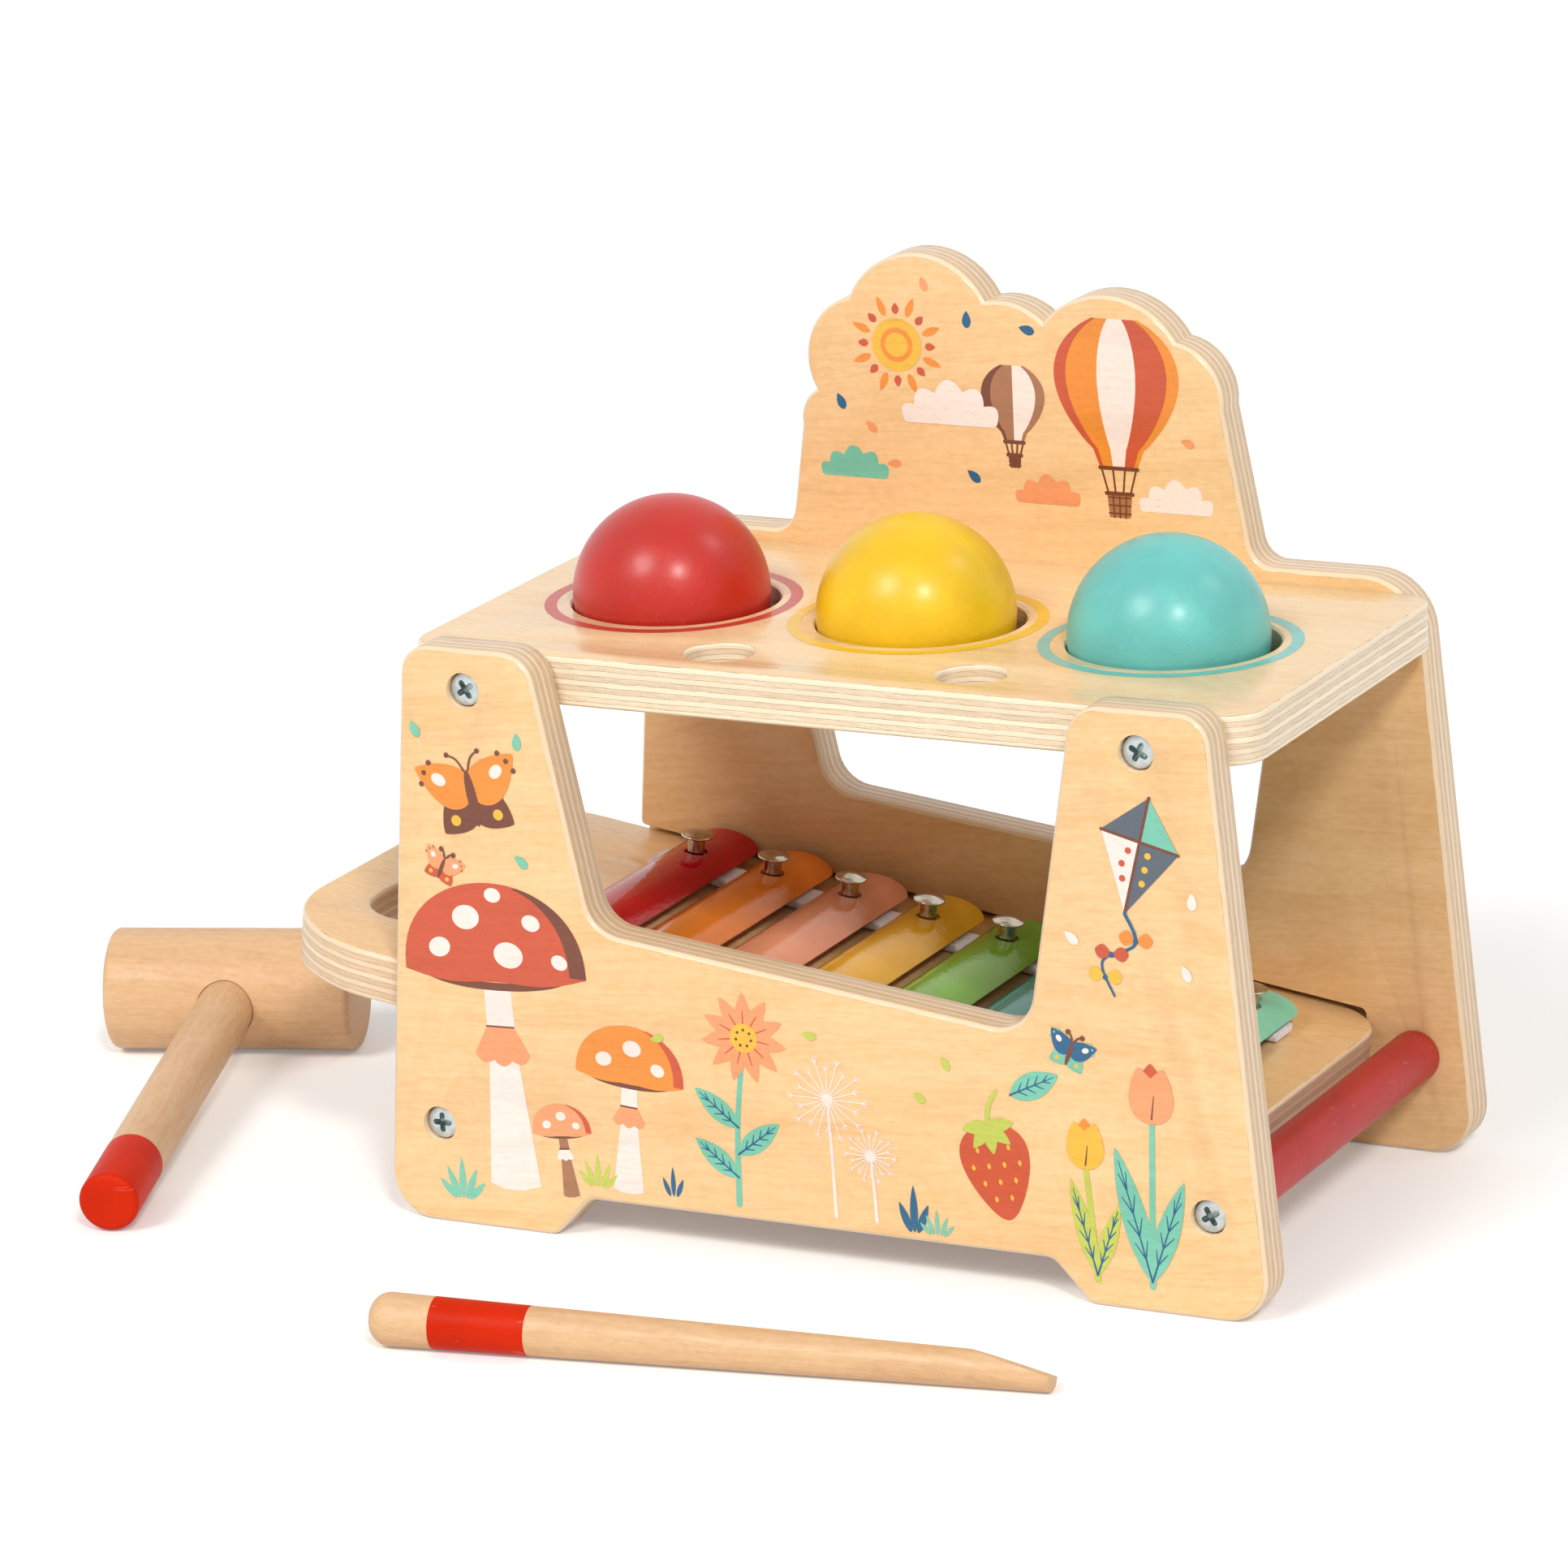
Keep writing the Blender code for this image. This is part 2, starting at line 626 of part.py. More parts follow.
def screw_profile(gap):
    """A screw from its head down, wider by a gap; its head's top is at zero."""
    head, shank = SCREW_HEAD_DIAMETER / 2 + gap, SCREW_SHANK_DIAMETER / 2 + gap
    top = SCREW_HEAD_DEPTH + CUT_OVERRUN if gap else 0
    profile = [(0, top), (head, top)]
    if not gap:
        profile = [(0, top), (head - SCREW_HEAD_HEIGHT / 4, top), (head, top - SCREW_HEAD_HEIGHT / 4)]
    under = -SCREW_HEAD_HEIGHT - gap
    point = -SCREW_LENGTH - gap
    return profile + [(head, under), (shank, under), (shank, point + shank), (0, point)]


def screw_places():
    """Where the screws stand: their names, places along the bench and heights."""
    shift, drop = SCREW_TOP_SHIFT
    top = BOARD_HEIGHT - BOARD_THICKNESS / 2 + drop
    return [
        ("top_left", shift - SCREW_TOP_SPACING / 2, top),
        ("top_right", shift + SCREW_TOP_SPACING / 2, top),
        ("low_left", -DOWEL_SPACING / 2, DOWEL_HEIGHT),
        ("low_right", DOWEL_SPACING / 2, DOWEL_HEIGHT),
    ]


def make_screw(cutters, bench):
    """One wood screw with a cross recess, whose mesh all eight share."""
    screw = turned("screw", screw_profile(0), SCREW_SIDES)
    for number, turn in enumerate((0, math.pi / 2)):
        half = Vector((CROSS_SPAN / 2, CROSS_WIDTH / 2, 0))
        low, high = -half - Vector((0, 0, CROSS_DEPTH)), half + Vector((0, 0, CUT_OVERRUN))
        tool = box(f"cross_cutter_{number}", low, high)
        tool.rotation_euler = (0, 0, turn)
        combine(screw, cutter(tool, cutters, None))
    bpy.context.view_layer.update()
    return applied(screw)


def make_screws(parts, cutters, bench, panels, board, dowels):
    """Four screws through each panel into the board and the dowels, with their bores."""
    material = make_material("screw_zinc", ZINC, 0.35, 1)
    master = make_screw(cutters, bench)
    sides = (
        ("front", 0, math.pi / 2, SCREW_HEAD_DEPTH),
        ("back", DEPTH, -math.pi / 2, DEPTH - SCREW_HEAD_DEPTH),
    )
    receivers = {"top_left": board, "top_right": board, "low_left": dowels[0], "low_right": dowels[1]}
    for panel, (side, face, turn, y) in zip(panels, sides):
        for place, x, z in screw_places():
            screw = bpy.data.objects.new(f"screw_{side}_{place}", master.data)
            bore = turned(f"bore_cutter_{side}_{place}", screw_profile(FIT_GAP), SCREW_SIDES)
            for item in (screw, bore):
                item.location = (x, y, z)
                item.rotation_euler = (turn, 0, 0)
            finish(screw, parts, material, bench)
            cutter(bore, cutters, bench)
            combine(panel, bore)
            combine(receivers[place], bore)
    bpy.data.objects.remove(master)


def tray_outline():
    """The tray's outline: small round corners at the right, larger ones at the left."""
    right, left, y = TRAY_RIGHT_REACH, TRAY_RIGHT_REACH - TRAY_LENGTH, TRAY_WIDTH / 2
    return rounded([(left, -y, TRAY_LEFT_RADIUS), (right, -y, TRAY_RIGHT_RADIUS),
                    (right, y, TRAY_RIGHT_RADIUS), (left, y, TRAY_LEFT_RADIUS)])


def slot_outline():
    """The tray's finger slot, run clockwise, with two round ends."""
    x = TRAY_RIGHT_REACH - TRAY_LENGTH + SLOT_INSET + SLOT_WIDTH / 2
    radius = SLOT_WIDTH / 2
    y = SLOT_LENGTH / 2 - radius
    return arc((x, y), radius, math.pi, 0) + arc((x, -y), radius, 0, -math.pi)


def bar_place(number):
    """A bar's middle along the tray."""
    return FIRST_BAR_X + number * BAR_PITCH


def pin_offset(number):
    """How far a bar's pins stand from the tray's middle line."""
    return PIN_FIRST_OFFSET + (PIN_LAST_OFFSET - PIN_FIRST_OFFSET) * number / (BAR_COUNT - 1)


def pin_places():
    """Every pin's bar number, side and place on the tray."""
    return [(number, side, bar_place(number), sign * pin_offset(number))
            for number in range(BAR_COUNT) for side, sign in (("front", -1), ("back", 1))]


def pin_profile():
    """A wide-headed pin from top to bottom, in the tray's frame."""
    head, shank = PIN_HEAD_DIAMETER / 2, PIN_SHANK_DIAMETER / 2
    rim_top = PIN_TOP - PIN_HEAD_RIM / 2
    return [(0, PIN_TOP), (head - PIN_HEAD_RIM, PIN_TOP), (head, rim_top), (head, rim_top - PIN_HEAD_RIM),
            (shank, PIN_TOP - PIN_HEAD_HEIGHT), (shank, -PIN_DEPTH), (0, -PIN_DEPTH)]


def make_tray(parts, cutters, material, tray_frame):
    """The sliding tray with its finger slot and the bores for its pins."""
    tray = flat_plate("tray", [tray_outline(), slot_outline()], TRAY_THICKNESS, TRAY_EDGE)
    tray.location = (0, 0, -TRAY_THICKNESS / 2)
    finish(tray, parts, material, tray_frame)
    bores = bmesh.new()
    depth = PIN_DEPTH + FIT_GAP + CUT_OVERRUN
    for number, side, x, y in pin_places():
        middle = Matrix.Translation((x, y, CUT_OVERRUN - depth / 2))
        bmesh.ops.create_cone(
            bores, cap_ends=True, segments=PIN_SIDES, radius1=PIN_SHANK_DIAMETER / 2 + FIT_GAP,
            radius2=PIN_SHANK_DIAMETER / 2 + FIT_GAP, depth=depth, matrix=middle)
    mesh = bpy.data.meshes.new("pin_bore_cutter")
    bores.to_mesh(mesh)
    bores.free()
    combine(tray, cutter(bpy.data.objects.new("pin_bore_cutter", mesh), cutters, tray_frame))
    return tray


def make_felts(parts, tray_frame):
    """The two felt strips that carry the bars, one along each row of pins."""
    material = make_material("felt", FELT_GREY, 0.95)
    slope = (PIN_LAST_OFFSET - PIN_FIRST_OFFSET) / ((BAR_COUNT - 1) * BAR_PITCH)
    left = FIRST_BAR_X - FELT_LEFT_REACH
    right = bar_place(BAR_COUNT - 1) + BAR_WIDTH / 2
    for side, sign in (("front", -1), ("back", 1)):
        ends = []
        for x in (left, right):
            middle = PIN_FIRST_OFFSET + FELT_OUTWARD + slope * (x - FIRST_BAR_X)
            ends.append((x, sign * middle))
        half = FELT_WIDTH / 2
        outline = [(ends[0][0], ends[0][1] - half), (ends[1][0], ends[1][1] - half),
                   (ends[1][0], ends[1][1] + half), (ends[0][0], ends[0][1] + half)]
        holes = [circle(x, y, PIN_SHANK_DIAMETER / 2 + FIT_GAP, PIN_SIDES)
                 for number, row, x, y in pin_places() if row == side]
        felt = flat_plate(f"felt_{side}", [outline, *holes], FELT_THICKNESS, 0)
        felt.location = (0, 0, FIT_GAP + FELT_THICKNESS / 2)
        finish(felt, parts, material, tray_frame)


def bar_section():
    """A bar's arched cross-section about its own middle, with its lowest edge at zero."""
    outer, inner = BAR_OUTER_RADIUS, BAR_OUTER_RADIUS - BAR_THICKNESS
    centre = BAR_HEIGHT - outer
    angles = [BAR_ARC_ANGLE * (2 * i / BAR_ARC_STEPS - 1) for i in range(BAR_ARC_STEPS + 1)]
    low = [(inner * math.sin(a), centre + inner * math.cos(a)) for a in angles]
    high = [(outer * math.sin(a), centre + outer * math.cos(a)) for a in reversed(angles)]
    return low + high


def make_bar(number, name, colour, parts, cutters, tray_frame):
    """One curved metal bar with round corners and a hole for each pin."""
    length = FIRST_BAR_LENGTH - number * BAR_SHORTENING
    bar = flat_plate(f"bar_{number + 1}_{name}", [bar_section()], length, 0)
    bar.data.transform(Matrix.Rotation(math.pi / 2, 4, "X"))
    bar.location = (bar_place(number), 0, BAR_SEAT)
    finish(bar, parts, make_material(f"bar_{name}", colour, 0.3, 0.35), tray_frame)
    x, y = BAR_WIDTH / 2, length / 2
    corners = [(-x, -y), (x, -y), (x, y), (-x, y)]
    radius = (PIN_SHANK_DIAMETER + PIN_HOLE_CLEARANCE) / 2
    blank = flat_plate(
        f"bar_shape_cutter_{number}",
        [rounded([(*corner, BAR_CORNER_RADIUS) for corner in corners]),
         *[circle(0, sign * pin_offset(number), radius, PIN_HOLE_SIDES) for sign in (-1, 1)]],
        4 * BAR_HEIGHT, 0)
    blank.location = bar.location
    combine(bar, cutter(blank, cutters, tray_frame), "INTERSECT")
    return bar


def make_pins(parts, tray_frame):
    """The pins that keep the bars on the tray, two to a bar."""
    material = make_material("pin_nickel", NICKEL, 0.25, 1)
    master = applied(turned("pin", pin_profile(), PIN_SIDES))
    for number, side, x, y in pin_places():
        pin = bpy.data.objects.new(f"pin_{number + 1}_{side}", master.data)
        pin.location = (x, y, 0)
        finish(pin, parts, material, tray_frame)
    bpy.data.objects.remove(master)


def barrel_profile(radius, top, bottom, edge):
    """A plain cylinder's profile with rounded rims, from top to bottom."""
    upper = arc((radius - edge, top - edge), edge, math.pi / 2, 0)
    lower = arc((radius - edge, bottom + edge), edge, 0, -math.pi / 2)
    return [(0, top), *upper, *lower, (0, bottom)]


def mallet_tilt():
    """How far the handle dips so that its end rests on the ground."""
    reach = MALLET_HEAD_DIAMETER / 2 + MALLET_HANDLE_REACH
    handle = MALLET_HANDLE_DIAMETER / 2
    return math.asin(MALLET_HEAD_DIAMETER / 2 / math.hypot(reach, handle)) - math.atan2(handle, reach)


def make_mallet(parts, cutters, bench):
    """The mallet: a barrel head across the end of a round handle."""
    material = make_material("mallet_beech", BEECH, 0.4)
    radius = MALLET_HEAD_DIAMETER / 2
    place = (-FOOT_SPAN / 2 - MALLET_HEAD_LEFT, MALLET_HEAD_BACK, radius)
    frame = make_empty("mallet_frame", place, (0, 0, MALLET_HEADING), bench, parts)
    half = MALLET_HEAD_LENGTH / 2
    head = turned("mallet_head", barrel_profile(radius, half, -half, MALLET_HEAD_EDGE), MALLET_SIDES)
    head.rotation_euler = (0, math.pi / 2, 0)
    finish(head, parts, material, frame)
    grip = MALLET_HANDLE_DIAMETER / 2
    start, end = radius - MALLET_HANDLE_DEPTH, radius + MALLET_HANDLE_REACH
    handle = turned("mallet_handle", barrel_profile(grip, end, start, MALLET_HANDLE_EDGE), HOLE_SIDES)
    bore = turned("handle_bore_cutter", [(0, end), (grip + FIT_GAP, end), (grip + FIT_GAP, start - FIT_GAP),
                                         (0, start - FIT_GAP)], HOLE_SIDES)
    for item in (handle, bore):
        item.rotation_euler = (math.pi / 2 + mallet_tilt(), 0, 0)
    finish(handle, parts, material, frame)
    combine(head, cutter(bore, cutters, frame))
    return head, handle


def stick_profile():
    """The tapered stick from its thin tip at the top down to its round butt at zero."""
    butt, tip = STICK_BUTT_DIAMETER / 2, STICK_TIP_DIAMETER / 2
    small, large = STICK_TIP_ROUNDING, STICK_BUTT_ROUNDING
    upper = arc((tip - small, STICK_LENGTH - small), small, math.pi / 2, 0)
    lower = arc((butt - large, large), large, 0, -math.pi / 2)
    return [(0, STICK_LENGTH), *upper, *lower, (0, 0)]


def make_stick(parts, cutters, bench):
    """The tapered wooden beater, cut to a wedge at its thin end."""
    butt, tip = STICK_BUTT_DIAMETER / 2, STICK_TIP_DIAMETER / 2
    taper = math.atan((butt - tip) / (STICK_LENGTH - STICK_BUTT_ROUNDING - STICK_TIP_ROUNDING))
    height = butt * math.cos(taper) + STICK_BUTT_ROUNDING * math.sin(taper)
    frame = make_empty("stick_frame", (-STICK_BUTT_LEFT, -STICK_BUTT_FRONT, height),
                       (0, 0, STICK_HEADING), bench, parts)
    stick = turned("stick", stick_profile(), STICK_SIDES)
    stick.rotation_euler = (0, math.pi / 2 + taper, 0)
    wedge = box("wedge_cutter", (-STICK_LENGTH, -STICK_BUTT_DIAMETER, 0),
                (0, STICK_BUTT_DIAMETER, STICK_LENGTH))
    start_radius = tip + (butt - tip) * STICK_WEDGE_LENGTH / STICK_LENGTH
    end_height = STICK_WEDGE_THICKNESS - tip
    lean = math.atan2(start_radius - end_height, STICK_WEDGE_LENGTH)
    wedge.location = Matrix.Rotation(STICK_WEDGE_ROLL, 3, "Z") @ Vector((-end_height, 0, STICK_LENGTH))
    wedge.rotation_euler = (0, lean, STICK_WEDGE_ROLL)
    wedge.data.transform(Matrix.Translation((0, 0, -STICK_LENGTH / 2)))
    finish(stick, parts, make_material("stick_beech", BEECH, 0.45), frame)
    combine(stick, cutter(wedge, cutters, stick))
    return stick


def centre_on_ground(root):
    """Shift the whole set so that the middle of its floor plan is at the origin."""
    bpy.context.view_layer.update()
    graph = bpy.context.evaluated_depsgraph_get()
    points = []
    for item in root.children_recursive:
        if item.type == "MESH" and not item.hide_render:
            shown = item.evaluated_get(graph)
            points += [shown.matrix_world @ vertex.co for vertex in shown.data.vertices]
    low = [min(point[i] for point in points) for i in range(2)]
    high = [max(point[i] for point in points) for i in range(2)]
    root.location = (-(low[0] + high[0]) / 2, -(low[1] + high[1]) / 2, 0)


def main():
    """Build the whole set."""
    clear_scene()
    parts = make_collection("xylophone_pounding_bench")
    cutters = make_collection("cutters")
    bench = make_empty("bench_frame", (0, 0, 0), (0, 0, 0), None, parts)
    tray_frame = make_empty("tray_frame", (0, MIDDLE_Y, TRAY_HEIGHT), (0, TRAY_TILT, 0), bench, parts)
    birch = make_material("birch_plywood", BIRCH, 0.5)
    panels = make_panels(parts, birch, bench)
    groove = groove_cutter(cutters, tray_frame)
    for panel in panels:
        combine(panel, groove)
    board = make_board(parts, cutters, make_material("board_plywood", PALE_BIRCH, 0.5), bench)
    dowels = make_dowels(parts, bench)
    make_screws(parts, cutters, bench, panels, board, dowels)
    make_balls(parts, bench)
    make_rings(parts, bench)
    make_tray(parts, cutters, birch, tray_frame)
    make_felts(parts, tray_frame)
    for number, (name, colour) in enumerate(BAR_COLOURS.items()):
        make_bar(number, name, colour, parts, cutters, tray_frame)
    make_pins(parts, tray_frame)
    make_mallet(parts, cutters, bench)
    make_stick(parts, cutters, bench)
    centre_on_ground(bench)


main()
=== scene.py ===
"""Looks for a toy bench with balls to pound and a xylophone on a pull-out tray.

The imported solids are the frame. Each operator dresses one piece, or one group of like pieces: the plywood
solids get lacquered birch with layered edges, and finer turned, bent and printed pieces stand for the rest.
"""
import math

import bmesh
import bpy
from bpy.props import FloatProperty, FloatVectorProperty, IntProperty, PointerProperty
from mathutils import Matrix, Vector, noise


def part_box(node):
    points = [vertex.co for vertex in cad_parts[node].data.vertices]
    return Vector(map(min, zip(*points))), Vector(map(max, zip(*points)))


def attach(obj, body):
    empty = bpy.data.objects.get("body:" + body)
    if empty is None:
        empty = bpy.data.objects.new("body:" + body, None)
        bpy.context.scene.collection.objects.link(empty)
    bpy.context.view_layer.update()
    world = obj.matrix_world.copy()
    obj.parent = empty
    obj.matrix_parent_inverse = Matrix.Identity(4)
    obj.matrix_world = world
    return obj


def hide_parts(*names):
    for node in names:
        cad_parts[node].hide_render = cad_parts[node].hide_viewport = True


bl_info = {
    "name": "Pounding Bench Looks",
    "version": (1, 0, 0),
    "blender": (4, 5, 0),
    "location": "View3D > Sidebar > Pounding Bench",
    "description": "Finishes, finer pieces, print and studio for a toy pounding bench with a xylophone",
    "category": "Object",
}

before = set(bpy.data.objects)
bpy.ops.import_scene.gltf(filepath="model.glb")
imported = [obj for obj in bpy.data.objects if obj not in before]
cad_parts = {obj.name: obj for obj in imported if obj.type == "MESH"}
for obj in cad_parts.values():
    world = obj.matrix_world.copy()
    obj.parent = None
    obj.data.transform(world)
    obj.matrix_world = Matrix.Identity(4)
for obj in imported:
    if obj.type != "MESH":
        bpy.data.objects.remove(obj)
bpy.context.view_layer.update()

MM = 0.001
BALLS = ("red", "yellow", "teal")
BARS = ("dark_red", "orange", "salmon", "yellow", "green", "teal", "blue", "mint")
PANEL_LOW, PANEL_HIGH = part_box("front_panel")
BOARD_LOW, BOARD_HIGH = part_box("top_board")
BACK_LOW, BACK_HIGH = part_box("back_panel")
MIDDLE_X = (PANEL_LOW.x + PANEL_HIGH.x) / 2
MIDDLE_Y = (PANEL_LOW.y + BACK_HIGH.y) / 2
TRAY_TILT = math.radians(8.22)
TRAY_FACE = 0.0431
TRAY_FRAME = Matrix.Translation((MIDDLE_X, MIDDLE_Y, TRAY_FACE)) @ Matrix.Rotation(TRAY_TILT, 4, "Y")
TRAY_NORMAL = Vector((math.sin(TRAY_TILT), 0, math.cos(TRAY_TILT)))
UPRIGHT = math.radians(90)
SMOOTH_ANGLE = math.radians(34)


# Settings

def linear(code):
    """Linear red, green and blue of a six-digit screen colour."""
    parts = [(code >> shift & 255) / 255 for shift in (16, 8, 0)]
    return tuple(p / 12.92 if p <= 0.04045 else ((p + 0.055) / 1.055) ** 2.4 for p in parts)


def colour(name, description, code):
    """A colour setting."""
    return FloatVectorProperty(
        name=name, description=description, default=linear(code), subtype="COLOR", size=3, min=0, max=1)


def length(name, description, default):
    """A length setting, given in millimetres."""
    return FloatProperty(
        name=name, description=description, default=default * MM, min=0, unit="LENGTH", precision=5)


class WoodSettings(bpy.types.PropertyGroup):
    """Birch plywood and beech."""

    birch_light: colour("Birch, light", "Ground colour of the plywood's faces", 0xF4CD99)
    birch_dark: colour("Birch, dark", "Figure in the plywood's faces", 0xDCAC70)
    board_light: colour("Board, light", "Ground colour of the top board's faces", 0xF5D5A5)
    board_dark: colour("Board, dark", "Figure in the top board's faces", 0xE3B880)
    ply_cream: colour("Ply, long grain", "Layers cut along their grain", 0xF2D8B6)
    ply_tan: colour("Ply, end grain", "Layers cut across their grain", 0xE4C7A4)
    board_cream: colour("Board ply, long grain", "Layers of the top board cut along their grain", 0xFAE9CC)
    board_tan: colour("Board ply, end grain", "Layers of the top board cut across their grain", 0xF0DCBD)
    ply_glue: colour("Glue line", "Thin lines between the layers", 0xAE8D6A)
    ply_count: IntProperty(name="Plies", description="Layers in a sheet", default=9, min=3, max=15)
    edge_round: length("Edge rounding", "Sanded arrises of the plywood", 0.35)
    beech_light: colour("Beech, light", "Ground colour of the mallet and the stick", 0xDFB88C)
    beech_dark: colour("Beech, dark", "Figure of the mallet and the stick", 0xC6966A)


class PaintSettings(bpy.types.PropertyGroup):
    """Lacquers, enamels and other finishes."""

    ball_red: colour("Red ball", "Lacquer of the first ball", 0xC42A1F)
    ball_yellow: colour("Yellow ball", "Lacquer of the second ball", 0xF3C413)
    ball_teal: colour("Teal ball", "Lacquer of the third ball", 0x6AC4BC)
    dowel: colour("Dowels", "Paint of the two dowels", 0xBC3330)
    tool_red: colour("Tool red", "Paint of the mallet's end and the stick's band", 0xD02A08)
    bar_dark_red: colour("Bar 1", "Enamel of the longest bar", 0xC60E20)
    bar_orange: colour("Bar 2", "Enamel of the second bar", 0xF48A2C)
    bar_salmon: colour("Bar 3", "Enamel of the third bar", 0xEA9C78)
    bar_yellow: colour("Bar 4", "Enamel of the fourth bar", 0xE5AC1F)
    bar_green: colour("Bar 5", "Enamel of the fifth bar", 0x74AB33)
    bar_teal: colour("Bar 6", "Enamel of the sixth bar", 0x3F9188)
    bar_blue: colour("Bar 7", "Enamel of the seventh bar", 0x2F74AD)
    bar_mint: colour("Bar 8", "Enamel of the shortest bar", 0x86D6B6)
    felt: colour("Felt", "Strips under the bars", 0xECE9EF)
    mallet_end: length("Painted end", "Red length of the mallet's handle", 24.5)
    band_start: length("Band start", "Where the stick's red band starts from its butt", 14.7)
    band_width: length("Band width", "Width of the stick's red band", 21.8)


class PrintSettings(bpy.types.PropertyGroup):
    """Inks of the printed pictures."""

    brick: colour("Brick", "Brick red ink", 0xCF5330)
    orange: colour("Orange", "Orange ink", 0xF0902F)
    salmon: colour("Salmon", "Salmon ink", 0xF5A06C)
    yellow: colour("Yellow", "Yellow ink", 0xF2BC3A)
    cream: colour("Cream", "Pinkish white ink", 0xFBE8DE)
    brown: colour("Brown", "Brown ink", 0xA87350)
    umber: colour("Umber", "Dark brown ink", 0x753B24)
    teal: colour("Teal", "Teal ink", 0x76C6AC)
    moss: colour("Moss", "Yellow-green ink", 0xC3CE55)
    navy: colour("Navy", "Dark blue ink", 0x0F5F88)
    slate: colour("Slate", "Slate ink", 0x56616D)
    ring_inner: length("Ring, inner radius", "Printed ring round a ball's hole", 26.6)
    ring_outer: length("Ring, outer radius", "Printed ring round a ball's hole", 29.4)


class StageSettings(bpy.types.PropertyGroup):
    """Camera, lamps and floor."""

    lens: FloatProperty(
        name="Lens", description="Focal length on a 36 mm sensor", default=172.3, min=1, unit="CAMERA")
    world: FloatProperty(
        name="World", description="Strength of the even light from all round", default=0.42, min=0)
    front: FloatProperty(
        name="Front lamp", description="Strength of the lamp over the camera", default=1.3, min=0)
    left: FloatProperty(
        name="Left lamp", description="Strength of the lamp left of the camera", default=1.4, min=0)
    top: FloatProperty(
        name="Top lamp", description="Strength of the lamp overhead", default=0.3, min=0)
    floor: colour("Floor", "Colour of the pale floor", 0xF6F5F3)


# Node groups and materials

def place(tree, kind, inputs=None, **settings):
    """Add a node, with its settings, its plain values and its links."""
    node = tree.nodes.new(kind)
    for name, value in settings.items():
        setattr(node, name, value)
    for key, value in (inputs or {}).items():
        if isinstance(value, bpy.types.NodeSocket):
            tree.links.new(value, node.inputs[key])
        else:
            node.inputs[key].default_value = value
    return node


def maths(tree, operation, *values, clamp=False):
    """The result of a Math node."""
    inputs = dict(enumerate(values))
    return place(tree, "ShaderNodeMath", inputs, operation=operation, use_clamp=clamp).outputs[0]


def blended(tree, factor, first, second, blend="MIX"):
    """Two colours mixed by a factor."""
    inputs = {0: factor, 6: first, 7: second}
    return place(tree, "ShaderNodeMix", inputs, data_type="RGBA", blend_type=blend).outputs[2]


def stretched(tree, vector, scale):
    """A vector scaled along its three axes."""
    inputs = {0: vector, 1: scale}
    return place(tree, "ShaderNodeVectorMath", inputs, operation="MULTIPLY").outputs[0]


def speckle(tree, vector, scale, detail=2.0, distortion=0.0):
    """The value of a noise texture."""
    inputs = {"Vector": vector, "Scale": scale, "Detail": detail, "Distortion": distortion}
    return place(tree, "ShaderNodeTexNoise", inputs).outputs[0]


def ramped(tree, value, low, high, start=0.0, end=1.0):
    """A value mapped smoothly from one range to another."""
    inputs = {0: value, 1: low, 2: high, 3: start, 4: end}
    return place(tree, "ShaderNodeMapRange", inputs, interpolation_type="SMOOTHSTEP").outputs[0]


def along(tree, vector, axis):
    """How far a vector reaches along an axis."""
    inputs = {0: vector, 1: axis}
    return place(tree, "ShaderNodeVectorMath", inputs, operation="DOT_PRODUCT").outputs["Value"]


def new_group(name, inputs, outputs):
    """An empty shader node group with its named sockets: its tree, its inputs and its output node."""
    tree = bpy.data.node_groups.new(name, "ShaderNodeTree")
    kinds = {"Vector": "NodeSocketVector", "Color": "NodeSocketColor", "Value": "NodeSocketFloat"}
    for label, kind, default in inputs:
        socket = tree.interface.new_socket(label, in_out="INPUT", socket_type=kinds[kind])
        socket.default_value = default
    for label, kind in outputs:
        tree.interface.new_socket(label, in_out="OUTPUT", socket_type=kinds[kind])
    return tree, tree.nodes.new("NodeGroupInput").outputs, tree.nodes.new("NodeGroupOutput")


def deliver(tree, result, **values):
    """Link values to a group's outputs."""
    for name, value in values.items():
        tree.links.new(value, result.inputs[name])


